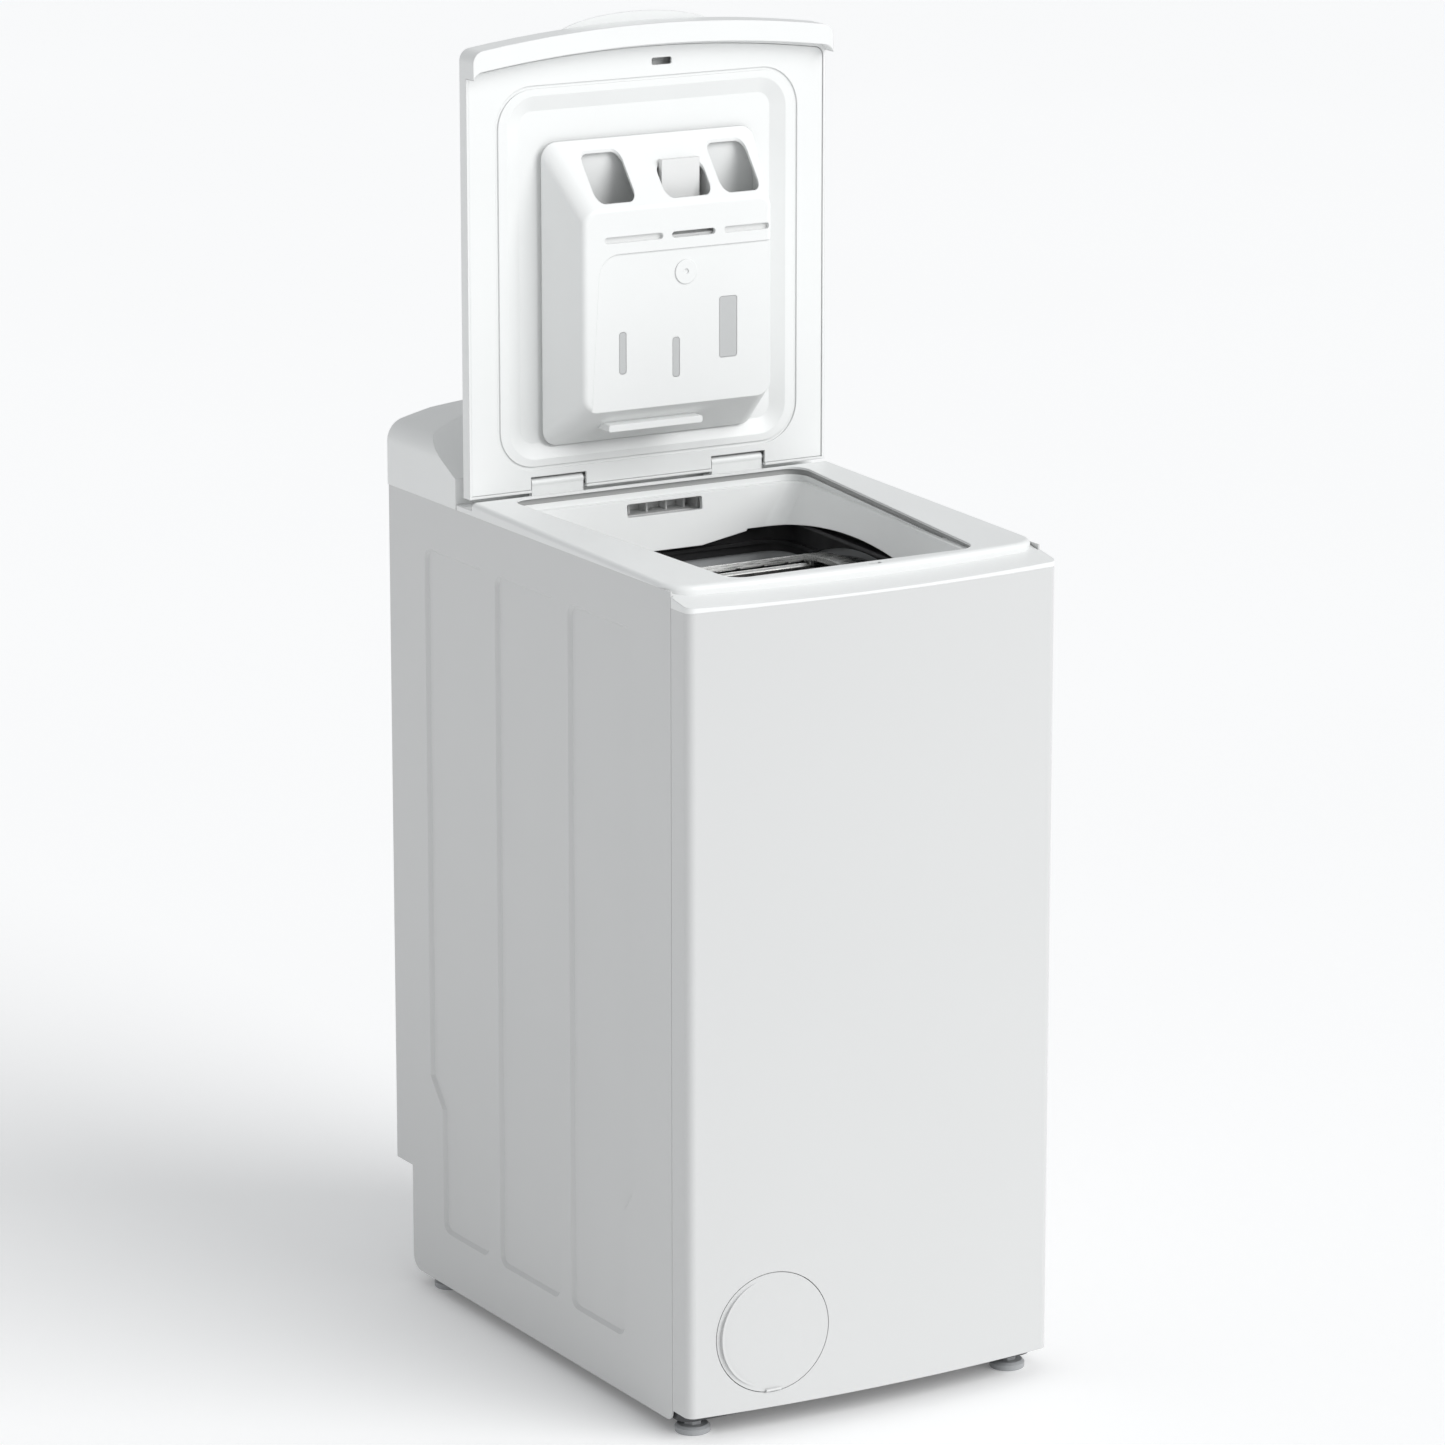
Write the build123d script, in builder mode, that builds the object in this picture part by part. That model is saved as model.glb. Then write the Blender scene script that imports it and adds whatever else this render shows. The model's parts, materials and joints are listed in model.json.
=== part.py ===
"""Top load washing machine with a drum that turns about a side-to-side axis.

Frame: millimetres, +X to the right seen from the front, +Y to the rear, +Z up.
The origin is at the middle of the base, on the floor. The lid is modelled open.
"""

import os

from build123d import *

os.makedirs("parts", exist_ok=True)

# Driving dimensions of the cabinet
WIDTH = 400.0
FRONT_Y = -300.0
REAR_Y = 298.0
REAR_LIMIT = 300.0
TOTAL_HEIGHT = 900.0
SIDE_BOTTOM = 14.0
SIDE_TOP = 812.0
FRONT_BOTTOM = 25.0
FRONT_TOP = 797.0
FRONT_CORNER_Y = -288.0
FRONT_FLANGE_Y = -258.0
CORNER_RADIUS = 9.0
FOLD_END_Y = -274.0
SHEET = 1.5
NOTCH_TOP = 121.0
NOTCH_Y = 263.0
HALF = WIDTH / 2

# Side panel recesses: front and rear edge of each field, and their common height
FIELDS = [(-183.0, -64.0), (-42.0, 79.0), (102.0, 222.0)]
FIELD_BOTTOM = 70.0
FIELD_TOP = 764.0
FIELD_DEPTH = 3.0
FIELD_RADIUS = 12.0
JOG_Z = 196.0
JOG_FRONT = 15.0
JOG_REAR = 25.0

# Base frame
BASE_WIDTH = 392.0
BASE_DEPTH = 532.0
BASE_Y = -5.0

# Deck, opening and loading funnel
DECK_REAR_Y = 155.0
DECK_REAR_Z = 825.0
DECK_FRONT_Z = 815.0
DECK_WALL = 3.0
LIP_STEP = 30.0
DECK_RADIUS = 28.0
STEP_RISE = 15.5
RIM_ROUND = 5.0
GROOVE_LOW = 7.0
GROOVE_HIGH = 2.5
GROOVE_DEPTH = 1.8
HINGE_TROUGH_Y = 124.0
HINGE_TROUGH_Z = 817.0
OPEN_REAR_Y = 118.0
OPEN_FRONT_Y = -254.0
OPEN_REAR_HALF = 164.0
OPEN_FRONT_HALF = 133.0
FUNNEL_TOP = 811.0
FUNNEL_BOTTOM = 755.0
FUNNEL_WALL = 2.5
MOUTH_REAR_Y = 108.0
MOUTH_FRONT_Y = -150.0
MOUTH_HALF = 122.0
ARCH_RADIUS = 737.0
ARCH_TOP = 785.0
ARCH_Y = -40.0
NOZZLE_WIDTH = 84.0
NOZZLE_X = 6.0
NOZZLE_Z = 801.0
NOZZLE_HEIGHT = 13.0
DUCT_SPIGOT_Y = 143.0

# Washing group
DRUM_Y = -30.0
DRUM_Z = 535.0
DRUM_R = 225.0
DRUM_HALF = 148.0
DRUM_SHEET = 1.2
TUB_INNER_R = 237.5
TUB_OUTER_R = 242.0
TUB_INNER_HALF = 154.0
TUB_HALF = 159.0
HUB_HALF = 172.0
SEAM_GAP = 1.0
NECK_HALF = 152.0
NECK_REAR_Y = 130.0
NECK_FRONT_Y = -216.0
NECK_TOP = 783.0
NECK_WALL = 4.0
NECK_RADIUS = 34.0
SHAFT_R = 12.5
BEARING_R = 26.0
RUN_GAP = 0.05

# Drum hatch
BELLOWS_BOTTOM = 742.0
BELLOWS_WEB = 778.0
BELLOWS_RIM = 4.5
RIM_HEIGHT = 8.0
HATCH_TURN = -10.0
HATCH_HALF_ANGLE = 20.3
HATCH_HALF = 104.0
FRAME_R = 230.5
FLAP_R = 226.8
FLAP_SHEET = 1.5
FLAP_PIN_R = 1.5
FLAP_PIN_ANGLE = 19.3
FLAP_PIN_RADIUS = 219.5
FLAP_OPEN = 100.0

# Drive
PULLEY_R = 140.0
MOTOR_PULLEY_R = 11.0
PULLEY_X0 = 176.0
PULLEY_X1 = 188.0
MOTOR_Y = 120.0
MOTOR_Z = 205.0
MOTOR_R = 66.0
BELT_GAP = 0.3
BELT_THICKNESS = 4.0

# Suspension and weights
SPRING_X = 178.0
SPRING_YS = [-205.0, 160.0]
SPRING_LOW = 604.0
SPRING_HIGH = 752.0
SPRING_COIL_R = 8.0
SPRING_WIRE_R = 1.8
SPRING_TURNS = 8
HOOK_LENGTH = 18.0
DAMPER_X = 135.0
DAMPER_Y = -60.0
DAMPER_LOW = 45.0
DAMPER_HIGH = 284.0
WEIGHT_HALF = 140.0
WEIGHT_R = 252.0
WEIGHT_CORNERS = [((-284, 275), (-150, 420)), ((150, 640), (262, 740))]
SPRING_PITCH = 15.5
BRACKET_X = 194.5

# Sump, heater and drain
SUMP_HALF = 110.0
SUMP_Y0 = -80.0
SUMP_Y1 = 20.0
SUMP_BOTTOM = 262.0
HEATER_Z = 280.0
HEATER_BEND = 6.0
HEATER_ROD_R = 3.2
HEATER_PLUG_R = 10.3
OUTLET_X = -60.0
OUTLET_Y = -30.0
HOSE_R = 14.0
HOSE_BORE = 11.5
FILTER_R = 36.0
FILTER_REAR_Y = -147.0
FILTER_INLET_Y = -180.0
PUMP_FRONT_Y = -147.0
PUMP_REAR_Y = -80.0
PUMP_OUT_Y = -132.0
DRAIN_R = 11.0
DRAIN_BORE = 8.5
REAR_PORT_Z = 84.0
DRAIN_PORT_X = -140.0
INLET_X = 150.0
GLAND_X = 60.0
INLET_THREAD_R = 13.2
INLET_NECK_R = 12.4
SPIGOT_R = 10.5

# Lid, modelled standing open
HINGE_Y = 138.0
HINGE_Z = 834.0
LID_HALF = 198.5
LID_BOTTOM = 826.0
LID_CORNER_Z = 1258.0
LID_APEX_Z = 1273.0
LID_UNDER_Y = 130.0
LID_OUTER_Y = 146.0
LID_LIP_Y = 115.0
LID_WALL = 2.5
LID_LIP = 21.0
HINGE_ARM_X0 = 71.0
HINGE_ARM_X1 = 130.0

PIN_R = 2.5
PIN_BOSSES = [-137.0, -64.0, 64.0, 137.0]
GRIP_X = -6.0
GRIP_Z = LID_APEX_Z - 15
GRIP_WIDTH = 184.0
GRIP_RISE = 24.0
GRIP_DEPTH = 11.0
TRAY_WIDTH = 308.0
TRAY_HEIGHT = 352.0
TRAY_Z = 1034.0
TRAY_DEPTH = 6.0
TRAY_WALL = 15.0
CREASE_DEPTH = 1.3
LATCH_X = 15.0
LATCH_SLOT_Z = 1234.0

# Detergent dispenser on the lid
LID_FACE_Y = LID_UNDER_Y + 1
DISP_HALF = 118.0
DISP_FACE_Y = 80.0
DISP_BOTTOM = 870.0
DISP_FACE_BOTTOM = 909.0
DISP_FACE_TOP = 1103.0
DISP_TOP = 1165.0
DISP_BACK_Y = 130.0
DISP_LEFT_SLOPE = 18.0
DISP_RIGHT_SLOPE = 10.0
DISP_RADIUS = 16.0
DISP_EDGE = 6.0
DISP_SKIN = 2.5
DISP_FOOT_INSET = 7.0
DISP_FACE_WALL = 4.0
DISP_WALLS = [-9.0, 51.0]
SLOT_Z = 1074.0
COMPARTMENTS = [(-82.0, -38.0), (-6.0, 46.0), (57.0, 100.0)]
WINDOW_FRONT = 85.0
WINDOW_REARS = [123.0, 111.0, 123.0]
SLOTS = [(-77.0, -13.0), (-3.0, 45.0), (55.0, 105.0)]
RECESS_LOW_X = -94.0
RECESS_HIGH_X = -82.0
RECESS_TOP = 1060.0
RECESS_DEPTH = 1.5
BOSS_PLACE = (13.0, 1037.0)
LEVEL_MARKS = [(-57.0, 963.5, 8.0, 41.0), (2.0, 954.5, 8.0, 39.0), (60.0, 979.0, 20.0, 60.0)]
TAB_X = -18.0
SIPHON_Z = 1070.0

# Console
CONSOLE_Y0 = 156.5
CONSOLE_FRONT_Z = 842.0
CONSOLE_WALL = 3.0
KNOB_X = 92.0
KNOB_R = 21.0
BUTTON_R = 6.5

CONSOLE_RIDGE_Y = 272.0
CONSOLE_REAR_Z = 884.0
SHOULDER_Z = 872.0
SLOPE_MIDDLE = 62.0
FASCIA_WIDTH = 300.0
FASCIA_HEIGHT = 58.0
FASCIA_LIFT = 1.5
FASCIA_THICKNESS = 2.5
BUTTON_XS = [130.0, 52.0, 32.0, 12.0]
DISPLAY_X = -60.0
DISPLAY_WIDTH = 96.0
DISPLAY_HEIGHT = 30.0

# Door lock in the deck's front bar
LOCK_Y = -262.0
LOCK_DEPTH = 8.4
LOCK_Z0 = 766.0
LOCK_Z1 = 808.0

# Filter at the front
FILTER_X = -113.0
FILTER_Z = 99.0
COVER_R = 58.4
COVER_GAP = 0.8
COVER_AXIS = (-296.9, 42.3)
KNUCKLE_R = 1.5
KNUCKLE_LENGTH = 16.0

# Feet
FOOT_X = 176.0
FOOT_FRONT_Y = -254.0
FOOT_REAR_Y = 228.0
FOOT_R = 17.0
FOOT_HEIGHT = 12.0
THREAD_R = 5.0

# Hose runs, as corner points
SUMP_RUN = [
    (OUTLET_X, OUTLET_Y, SUMP_BOTTOM),
    (OUTLET_X, OUTLET_Y, 200),
    (FILTER_X, FILTER_INLET_Y, 200),
    (FILTER_X, FILTER_INLET_Y, FILTER_Z + FILTER_R + 1),
]
DRAIN_RUN = [
    (FILTER_X - 33, PUMP_OUT_Y, FILTER_Z),
    (-175, PUMP_OUT_Y, FILTER_Z),
    (-175, 195, FILTER_Z),
    (DRAIN_PORT_X, 232, REAR_PORT_Z),
    (DRAIN_PORT_X, 261, REAR_PORT_Z),
]
INLET_RUN = [
    (INLET_X, 244, REAR_PORT_Z + 20),
    (INLET_X, 235, 300),
    (INLET_X, 235, 760),
    (50, 165, 757),
    (NOZZLE_X, DUCT_SPIGOT_Y, 754),
    (NOZZLE_X, DUCT_SPIGOT_Y, 790),
]


def plane_x(x):
    """Plane normal to +X: its local axes are +Y and +Z."""
    return Plane(origin=(x, 0, 0), x_dir=(0, 1, 0), z_dir=(1, 0, 0))


def plane_y(y):
    """Plane normal to -Y: its local axes are +X and +Z."""
    return Plane(origin=(0, y, 0), x_dir=(1, 0, 0), z_dir=(0, -1, 0))


def save(piece, name):
    """Label one finished piece and write its STEP file."""
    piece.part.label = name
    export_step(piece.part, f"parts/{name}.step")


def plan_outline(inset, back_y, front_shift=0.0, radius=CORNER_RADIUS):
    """Plan of the cabinet front: a bowed front edge between rounded corners."""
    half = HALF - inset
    corner_y = FRONT_CORNER_Y + inset + front_shift
    apex_y = FRONT_Y + inset + front_shift
    with BuildSketch(Plane.XY, mode=Mode.PRIVATE) as plan:
        with BuildLine():
            ThreePointArc((-half, corner_y), (0, apex_y), (half, corner_y))
            Polyline((half, corner_y), (half, back_y), (-half, back_y), (-half, corner_y))
        make_face()
        fillet(plan.vertices().group_by(Axis.Y)[0], max(radius - inset, 2.0))
    return plan.sketch


# ---------------------------------------------------------------- cabinet


def front_panel():
    """Bowed sheet with side flanges, folded edges and the round cover's hole."""
    with BuildPart() as panel:
        with BuildSketch(Plane.XY.offset(FRONT_BOTTOM)):
            add(plan_outline(0, FRONT_FLANGE_Y))
        extrude(amount=FRONT_TOP - FRONT_BOTTOM)
        with BuildSketch(Plane.XY.offset(FRONT_BOTTOM + SHEET)):
            add(plan_outline(SHEET, FRONT_FLANGE_Y + 10))
        extrude(amount=FRONT_TOP - FRONT_BOTTOM - 2 * SHEET, mode=Mode.SUBTRACT)
        with BuildSketch(Plane.XY.offset(FRONT_BOTTOM - 1)):
            add(plan_outline(14, FRONT_FLANGE_Y + 10))
            with Locations((0, FOLD_END_Y)):
                Rectangle(WIDTH - 2 * SHEET, 60, align=(Align.CENTER, Align.MIN))
        extrude(amount=FRONT_TOP - FRONT_BOTTOM + 2, mode=Mode.SUBTRACT)
        with BuildSketch(plane_y(-200)):
            with Locations((FILTER_X, FILTER_Z)):
                Circle(COVER_R + COVER_GAP)
        extrude(amount=150, mode=Mode.SUBTRACT)
    save(panel, "front_panel")


def filter_cover():
    """Round cover that continues the bowed front, with an inner rim and a hinge knuckle."""
    with BuildPart() as cover:
        with BuildSketch(Plane.XY.offset(FILTER_Z - COVER_R)):
            add(plan_outline(0, FRONT_FLANGE_Y))
            add(plan_outline(2.5, FRONT_FLANGE_Y + 10), mode=Mode.SUBTRACT)
        extrude(amount=2 * COVER_R)
        with BuildSketch(plane_y(-200)):
            with Locations((FILTER_X, FILTER_Z)):
                Circle(COVER_R)
        extrude(amount=150, mode=Mode.INTERSECT)
        with BuildSketch(plane_y(-282)):
            with Locations((FILTER_X, FILTER_Z)):
                Circle(COVER_R - 4)
                Circle(COVER_R - 6.5, mode=Mode.SUBTRACT)
        extrude(amount=13)
        with BuildSketch(plane_x(FILTER_X - KNUCKLE_LENGTH / 2)):
            with Locations(COVER_AXIS):
                Circle(KNUCKLE_R)
        extrude(amount=KNUCKLE_LENGTH)
    save(cover, "filter_cover")


def field_outline(front, rear, grow):
    """One recessed field of the side panel; the outer fields narrow low down."""
    low, high = FIELD_BOTTOM - grow, FIELD_TOP + grow
    near, far = front - grow, rear + grow
    near_low = near + JOG_FRONT if front < FIELDS[0][0] + 1 else near
    far_low = far - JOG_REAR if rear > FIELDS[2][1] - 1 else far
    with BuildSketch(Plane.XY, mode=Mode.PRIVATE) as field:
        with BuildLine():
            Polyline((near_low, low), (far_low, low), (far_low, JOG_Z), (far, JOG_Z + 30))
            Polyline((far, JOG_Z + 30), (far, high), (near, high), (near, JOG_Z + 20))
            Polyline((near, JOG_Z + 20), (near_low, JOG_Z), (near_low, low))
        make_face()
        fillet(field.vertices().group_by(Axis.Y)[0], FIELD_RADIUS)
        fillet(field.vertices().group_by(Axis.Y)[-1], FIELD_RADIUS)
    return field.sketch


def side_panel(side, name):
    """Sheet side with three recessed fields, a rear notch and a rear flange."""
    skin = Plane(origin=(-HALF, 0, 0), x_dir=(0, 1, 0), z_dir=(1, 0, 0))
    inner = Plane(origin=(-HALF + SHEET, 0, 0), x_dir=(0, 1, 0), z_dir=(1, 0, 0))
    with BuildPart() as panel:
        with BuildSketch(skin) as outline:
            with BuildLine():
                Polyline(
                    (FRONT_FLANGE_Y + 0.6, SIDE_BOTTOM),
                    (FRONT_FLANGE_Y + 0.6, SIDE_TOP),
                    (REAR_Y - 2, SIDE_TOP),
                    (REAR_Y - 2, NOTCH_TOP),
                    (NOTCH_Y, NOTCH_TOP),
                    (NOTCH_Y, SIDE_BOTTOM),
                    close=True,
                )
            make_face()
            front_top = outline.vertices().sort_by(Axis.Y)[:2].sort_by(Axis.Z)[-1]
            fillet(front_top, 15)
            fillet(outline.vertices().sort_by_distance((-HALF, NOTCH_Y, NOTCH_TOP))[0], 9)
        extrude(amount=SHEET)
        with BuildSketch(inner):
            for front, rear in FIELDS:
                add(field_outline(front, rear, 2.0))
        extrude(amount=FIELD_DEPTH)
        with BuildSketch(skin):
            for front, rear in FIELDS:
                add(field_outline(front, rear, 0.0))
        extrude(amount=FIELD_DEPTH, taper=50, mode=Mode.SUBTRACT)
        with BuildSketch(Plane.XY.offset(NOTCH_TOP + 2)):
            with Locations((-HALF, REAR_Y - 2)):
                Rectangle(20, SHEET, align=(Align.MIN, Align.MAX))
        extrude(amount=SIDE_TOP - NOTCH_TOP - 4)
        if side > 0:
            mirror(about=Plane.YZ, mode=Mode.REPLACE)
    save(panel, name)


def rear_panel():
    """Stepped rear sheet with louvres and a service window."""
    half = HALF - SHEET - 0.5
    face = REAR_Y - 2 + SHEET
    with BuildPart() as panel:
        with BuildSketch(plane_x(-half)):
            with BuildLine():
                Polyline(
                    (face, SIDE_TOP),
                    (face, NOTCH_TOP + 0.5),
                    (NOTCH_Y - 1, NOTCH_TOP + 0.5),
                    (NOTCH_Y - 1, 46),
                    (NOTCH_Y - 1 - SHEET, 46),
                    (NOTCH_Y - 1 - SHEET, NOTCH_TOP + 0.5 + SHEET),
                    (face - SHEET, NOTCH_TOP + 0.5 + SHEET),
                    (face - SHEET, SIDE_TOP),
                    close=True,
                )
            make_face()
        extrude(amount=2 * half)
        with BuildSketch(plane_y(REAR_Y + 10)):
            with Locations((0, 380)):
                RectangleRounded(230, 290, 24)
            for x, z in [(-110, 700), (110, 700)]:
                with Locations((x, z)):
                    with GridLocations(0, 12, 1, 6):
                        SlotOverall(70, 4)
        extrude(amount=30, mode=Mode.SUBTRACT)
        with BuildSketch(plane_y(REAR_Y + 10)):
            for x, r in [(-140, 13.4), (150, 13.6), (60, 9.6)]:
                with Locations((x, 84)):
                    Circle(r)
        extrude(amount=80, mode=Mode.SUBTRACT)
    save(panel, "rear_panel")


def service_cover():
    """Pressed cover over the service window, with its own louvres."""
    face = REAR_Y - 2 + SHEET
    with BuildPart() as cover:
        with BuildSketch(plane_y(face + SHEET)):
            with Locations((0, 380)):
                RectangleRounded(256, 316, 30)
        extrude(amount=SHEET)
        with BuildSketch(plane_y(face)):
            with Locations((0, 380)):
                RectangleRounded(226, 286, 22)
                RectangleRounded(220, 280, 20, mode=Mode.SUBTRACT)
        extrude(amount=8)
        with BuildSketch(plane_y(face + 5)):
            with Locations((0, 440)):
                with GridLocations(0, 14, 1, 7):
                    SlotOverall(150, 5)
        extrude(amount=20, mode=Mode.SUBTRACT)
    save(cover, "rear_service_cover")


def base_frame():
    """Ring channel under the cabinet with two cross members and foot bosses."""
    low, high = SIDE_BOTTOM + 1, 45.0
    with BuildPart() as frame:
        with BuildSketch(Plane.XY.offset(low)):
            with Locations((0, BASE_Y)):
                RectangleRounded(BASE_WIDTH, BASE_DEPTH, 14)
                RectangleRounded(BASE_WIDTH - 60, BASE_DEPTH - 60, 10, mode=Mode.SUBTRACT)
        extrude(amount=high - low)
        with BuildSketch(Plane.XY.offset(low)):
            with Locations((0, BASE_Y)):
                RectangleRounded(BASE_WIDTH - 6, BASE_DEPTH - 6, 11)
                RectangleRounded(BASE_WIDTH - 54, BASE_DEPTH - 54, 13, mode=Mode.SUBTRACT)
        extrude(amount=high - low - 3, mode=Mode.SUBTRACT)
        for y, depth in [(-60, 34), (MOTOR_Y, 60)]:
            with BuildSketch(Plane.XY.offset(high - 12)):
                with Locations((0, y)):
                    Rectangle(334, depth)
            extrude(amount=12)
        with BuildSketch(Plane.XY.offset(low)):
            with Locations((0, (FOOT_FRONT_Y + FOOT_REAR_Y) / 2)):
                with GridLocations(2 * FOOT_X, FOOT_REAR_Y - FOOT_FRONT_Y, 2, 2):
                    Circle(14.8)
        extrude(amount=high - low)
        with BuildSketch(Plane.XY.offset(low - 1)):
            with Locations((0, (FOOT_FRONT_Y + FOOT_REAR_Y) / 2)):
                with GridLocations(2 * FOOT_X, FOOT_REAR_Y - FOOT_FRONT_Y, 2, 2):
                    Circle(THREAD_R + RUN_GAP)
        extrude(amount=24, mode=Mode.SUBTRACT)
    save(frame, "base_frame")


def feet(places, name):
    """Levelling feet: a round pad under a threaded stem with a hexagon."""
    with BuildPart() as piece:
        with BuildSketch(Plane.XY):
            with Locations(*places):
                Circle(FOOT_R)
        extrude(amount=FOOT_HEIGHT - 4)
        chamfer(piece.edges().group_by(Axis.Z)[-1], 2.5)
        fillet(piece.edges().group_by(Axis.Z)[0], 1.2)
        with BuildSketch(Plane.XY.offset(FOOT_HEIGHT - 4)):
            with Locations(*places):
                RegularPolygon(9, 6)
        extrude(amount=5)
        with BuildSketch(Plane.XY.offset(FOOT_HEIGHT)):
            with Locations(*places):
                Circle(THREAD_R)
        extrude(amount=22)
    save(piece, name)


# ---------------------------------------------------------------- deck


def opening_outline(grow, half_rear=OPEN_REAR_HALF, half_front=OPEN_FRONT_HALF):
    """Laundry opening: wider at the rear than at the front, round corners."""
    with BuildSketch(Plane.XY, mode=Mode.PRIVATE) as hole:
        with BuildLine():
            Polyline(
                (-half_rear - grow, OPEN_REAR_Y + grow),
                (half_rear + grow, OPEN_REAR_Y + grow),
                (half_front + grow, OPEN_FRONT_Y - grow),
                (-half_front - grow, OPEN_FRONT_Y - grow),
                close=True,
            )
        make_face()
        fillet(hole.vertices(), 20 + grow)
    return hole.sketch


def mouth_outline(grow):
    """Lower mouth of the funnel."""
    with BuildSketch(Plane.XY, mode=Mode.PRIVATE) as hole:
        with BuildLine():
            Polyline(
                (-MOUTH_HALF - grow, MOUTH_REAR_Y + grow),
                (MOUTH_HALF + grow, MOUTH_REAR_Y + grow),
                (MOUTH_HALF - 6 + grow, MOUTH_FRONT_Y - grow),
                (-MOUTH_HALF + 6 - grow, MOUTH_FRONT_Y - grow),
                close=True,
            )
        make_face()
        fillet(hole.vertices(), 20 + grow)
    return hole.sketch


def rim_groove():
    """Shadow groove just under the deck surface, all round the opening."""
    with BuildPart(mode=Mode.PRIVATE) as groove:
        with BuildSketch(plane_x(-HALF)):
            with BuildLine():
                Polyline(
                    (HINGE_TROUGH_Y, DECK_REAR_Z - GROOVE_LOW),
                    (HINGE_TROUGH_Y, DECK_REAR_Z - GROOVE_HIGH),
                    (FRONT_Y, DECK_FRONT_Z - GROOVE_HIGH + 0.3),
                    (FRONT_Y, DECK_FRONT_Z - GROOVE_LOW + 0.3),
                    close=True,
                )
            make_face()
        extrude(amount=WIDTH)
        with BuildSketch(Plane.XY.offset(700)):
            add(opening_outline(GROOVE_DEPTH))
            add(opening_outline(-1), mode=Mode.SUBTRACT)
        extrude(amount=200, mode=Mode.INTERSECT)
    return groove.part


def deck_platform():
    """Raised part of the deck with its rounded rim and the hinge trough behind it."""
    with BuildPart(mode=Mode.PRIVATE) as platform:
        with BuildSketch(plane_x(-HALF)):
            with BuildLine():
                Polyline(
                    (DECK_REAR_Y, FRONT_TOP),
                    (DECK_REAR_Y, HINGE_TROUGH_Z),
                    (HINGE_TROUGH_Y, HINGE_TROUGH_Z),
                    (HINGE_TROUGH_Y - 2, DECK_REAR_Z),
                    (FRONT_Y, DECK_FRONT_Z),
                    (FRONT_Y, FRONT_TOP),
                    close=True,
                )
            make_face()
        extrude(amount=WIDTH)
        with BuildSketch(Plane.XY.offset(700)):
            add(plan_outline(0, DECK_REAR_Y, LIP_STEP, DECK_RADIUS))
        extrude(amount=200, mode=Mode.INTERSECT)
        crown = platform.faces().filter_by(lambda f: f.normal_at().Z > 0.9).sort_by(Axis.Z)[-1]
        rim = crown.edges().filter_by(lambda e: e.center().Y < HINGE_TROUGH_Y - 5)
        fillet(rim, RIM_ROUND)
        with BuildSketch(Plane.XY.offset(FRONT_TOP - 1)):
            with Locations((0, FRONT_FLANGE_Y + 0.3)):
                Rectangle(WIDTH + 2, 500, align=(Align.CENTER, Align.MIN))
            with Locations((0, FRONT_Y)):
                Rectangle(WIDTH - 5, 500, align=(Align.CENTER, Align.MIN), mode=Mode.SUBTRACT)
        extrude(amount=SIDE_TOP - FRONT_TOP + 1, mode=Mode.SUBTRACT)
    return platform.part


def deck_front_step():
    """Lowered step between the platform and the cabinet's front edge."""
    with BuildPart(mode=Mode.PRIVATE) as front_step:
        with BuildSketch(plane_x(-HALF)):
            with BuildLine():
                Polyline(
                    (FRONT_Y, FRONT_TOP),
                    (FRONT_Y, FRONT_TOP + 3),
                    (FRONT_CORNER_Y + LIP_STEP + DECK_RADIUS + 2, FRONT_TOP + STEP_RISE),
                    (FRONT_CORNER_Y + LIP_STEP + DECK_RADIUS + 2, FRONT_TOP),
                    close=True,
                )
            make_face()
        extrude(amount=WIDTH)
        with BuildSketch(Plane.XY.offset(700)):
            add(plan_outline(0, 0))
        extrude(amount=200, mode=Mode.INTERSECT)
        with BuildSketch(Plane.XY.offset(FRONT_TOP - 1)):
            with Locations((0, FRONT_FLANGE_Y + 0.3)):
                Rectangle(WIDTH + 2, 60, align=(Align.CENTER, Align.MIN))
            with Locations((0, FRONT_Y)):
                Rectangle(WIDTH - 5, 100, align=(Align.CENTER, Align.MIN), mode=Mode.SUBTRACT)
        extrude(amount=SIDE_TOP - FRONT_TOP + 1, mode=Mode.SUBTRACT)
    return front_step.part


def deck_hollow():
    """Space under the deck skin, with a wall left round the opening."""
    with BuildPart(mode=Mode.PRIVATE) as hollow:
        with BuildSketch(plane_x(-HALF)):
            with BuildLine():
                Polyline(
                    (DECK_REAR_Y - DECK_WALL, FRONT_TOP - 5),
                    (DECK_REAR_Y - DECK_WALL, HINGE_TROUGH_Z - DECK_WALL),
                    (HINGE_TROUGH_Y - 5, HINGE_TROUGH_Z - DECK_WALL),
                    (HINGE_TROUGH_Y - 5, DECK_REAR_Z - DECK_WALL - 1),
                    (FRONT_Y, DECK_FRONT_Z - DECK_WALL),
                    (FRONT_Y, FRONT_TOP - 5),
                    close=True,
                )
            make_face()
        extrude(amount=WIDTH)
        with BuildSketch(Plane.XY.offset(700)):
            add(plan_outline(DECK_WALL + 2.5, DECK_REAR_Y, LIP_STEP - 2.5, DECK_RADIUS))
        extrude(amount=200, mode=Mode.INTERSECT)
        with BuildSketch(Plane.XY.offset(FUNNEL_TOP)):
            add(opening_outline(DECK_WALL))
        extrude(amount=200, mode=Mode.SUBTRACT)
    return hollow.part


def top_frame():
    """Deck around the opening: platform, hinge trough and lowered front step."""
    with BuildPart() as deck:
        add(deck_platform())
        add(deck_front_step())
        add(deck_hollow(), mode=Mode.SUBTRACT)
        with BuildSketch(Plane.XY.offset(700)):
            add(opening_outline(0))
        extrude(amount=200, mode=Mode.SUBTRACT)
        with BuildSketch(Plane.XY.offset(700)):
            with Locations((LATCH_X, LOCK_Y)):
                Rectangle(12.8, 5.8)
        extrude(amount=200, mode=Mode.SUBTRACT)
        add(rim_groove(), mode=Mode.SUBTRACT)
    save(deck, "top_frame")


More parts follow.
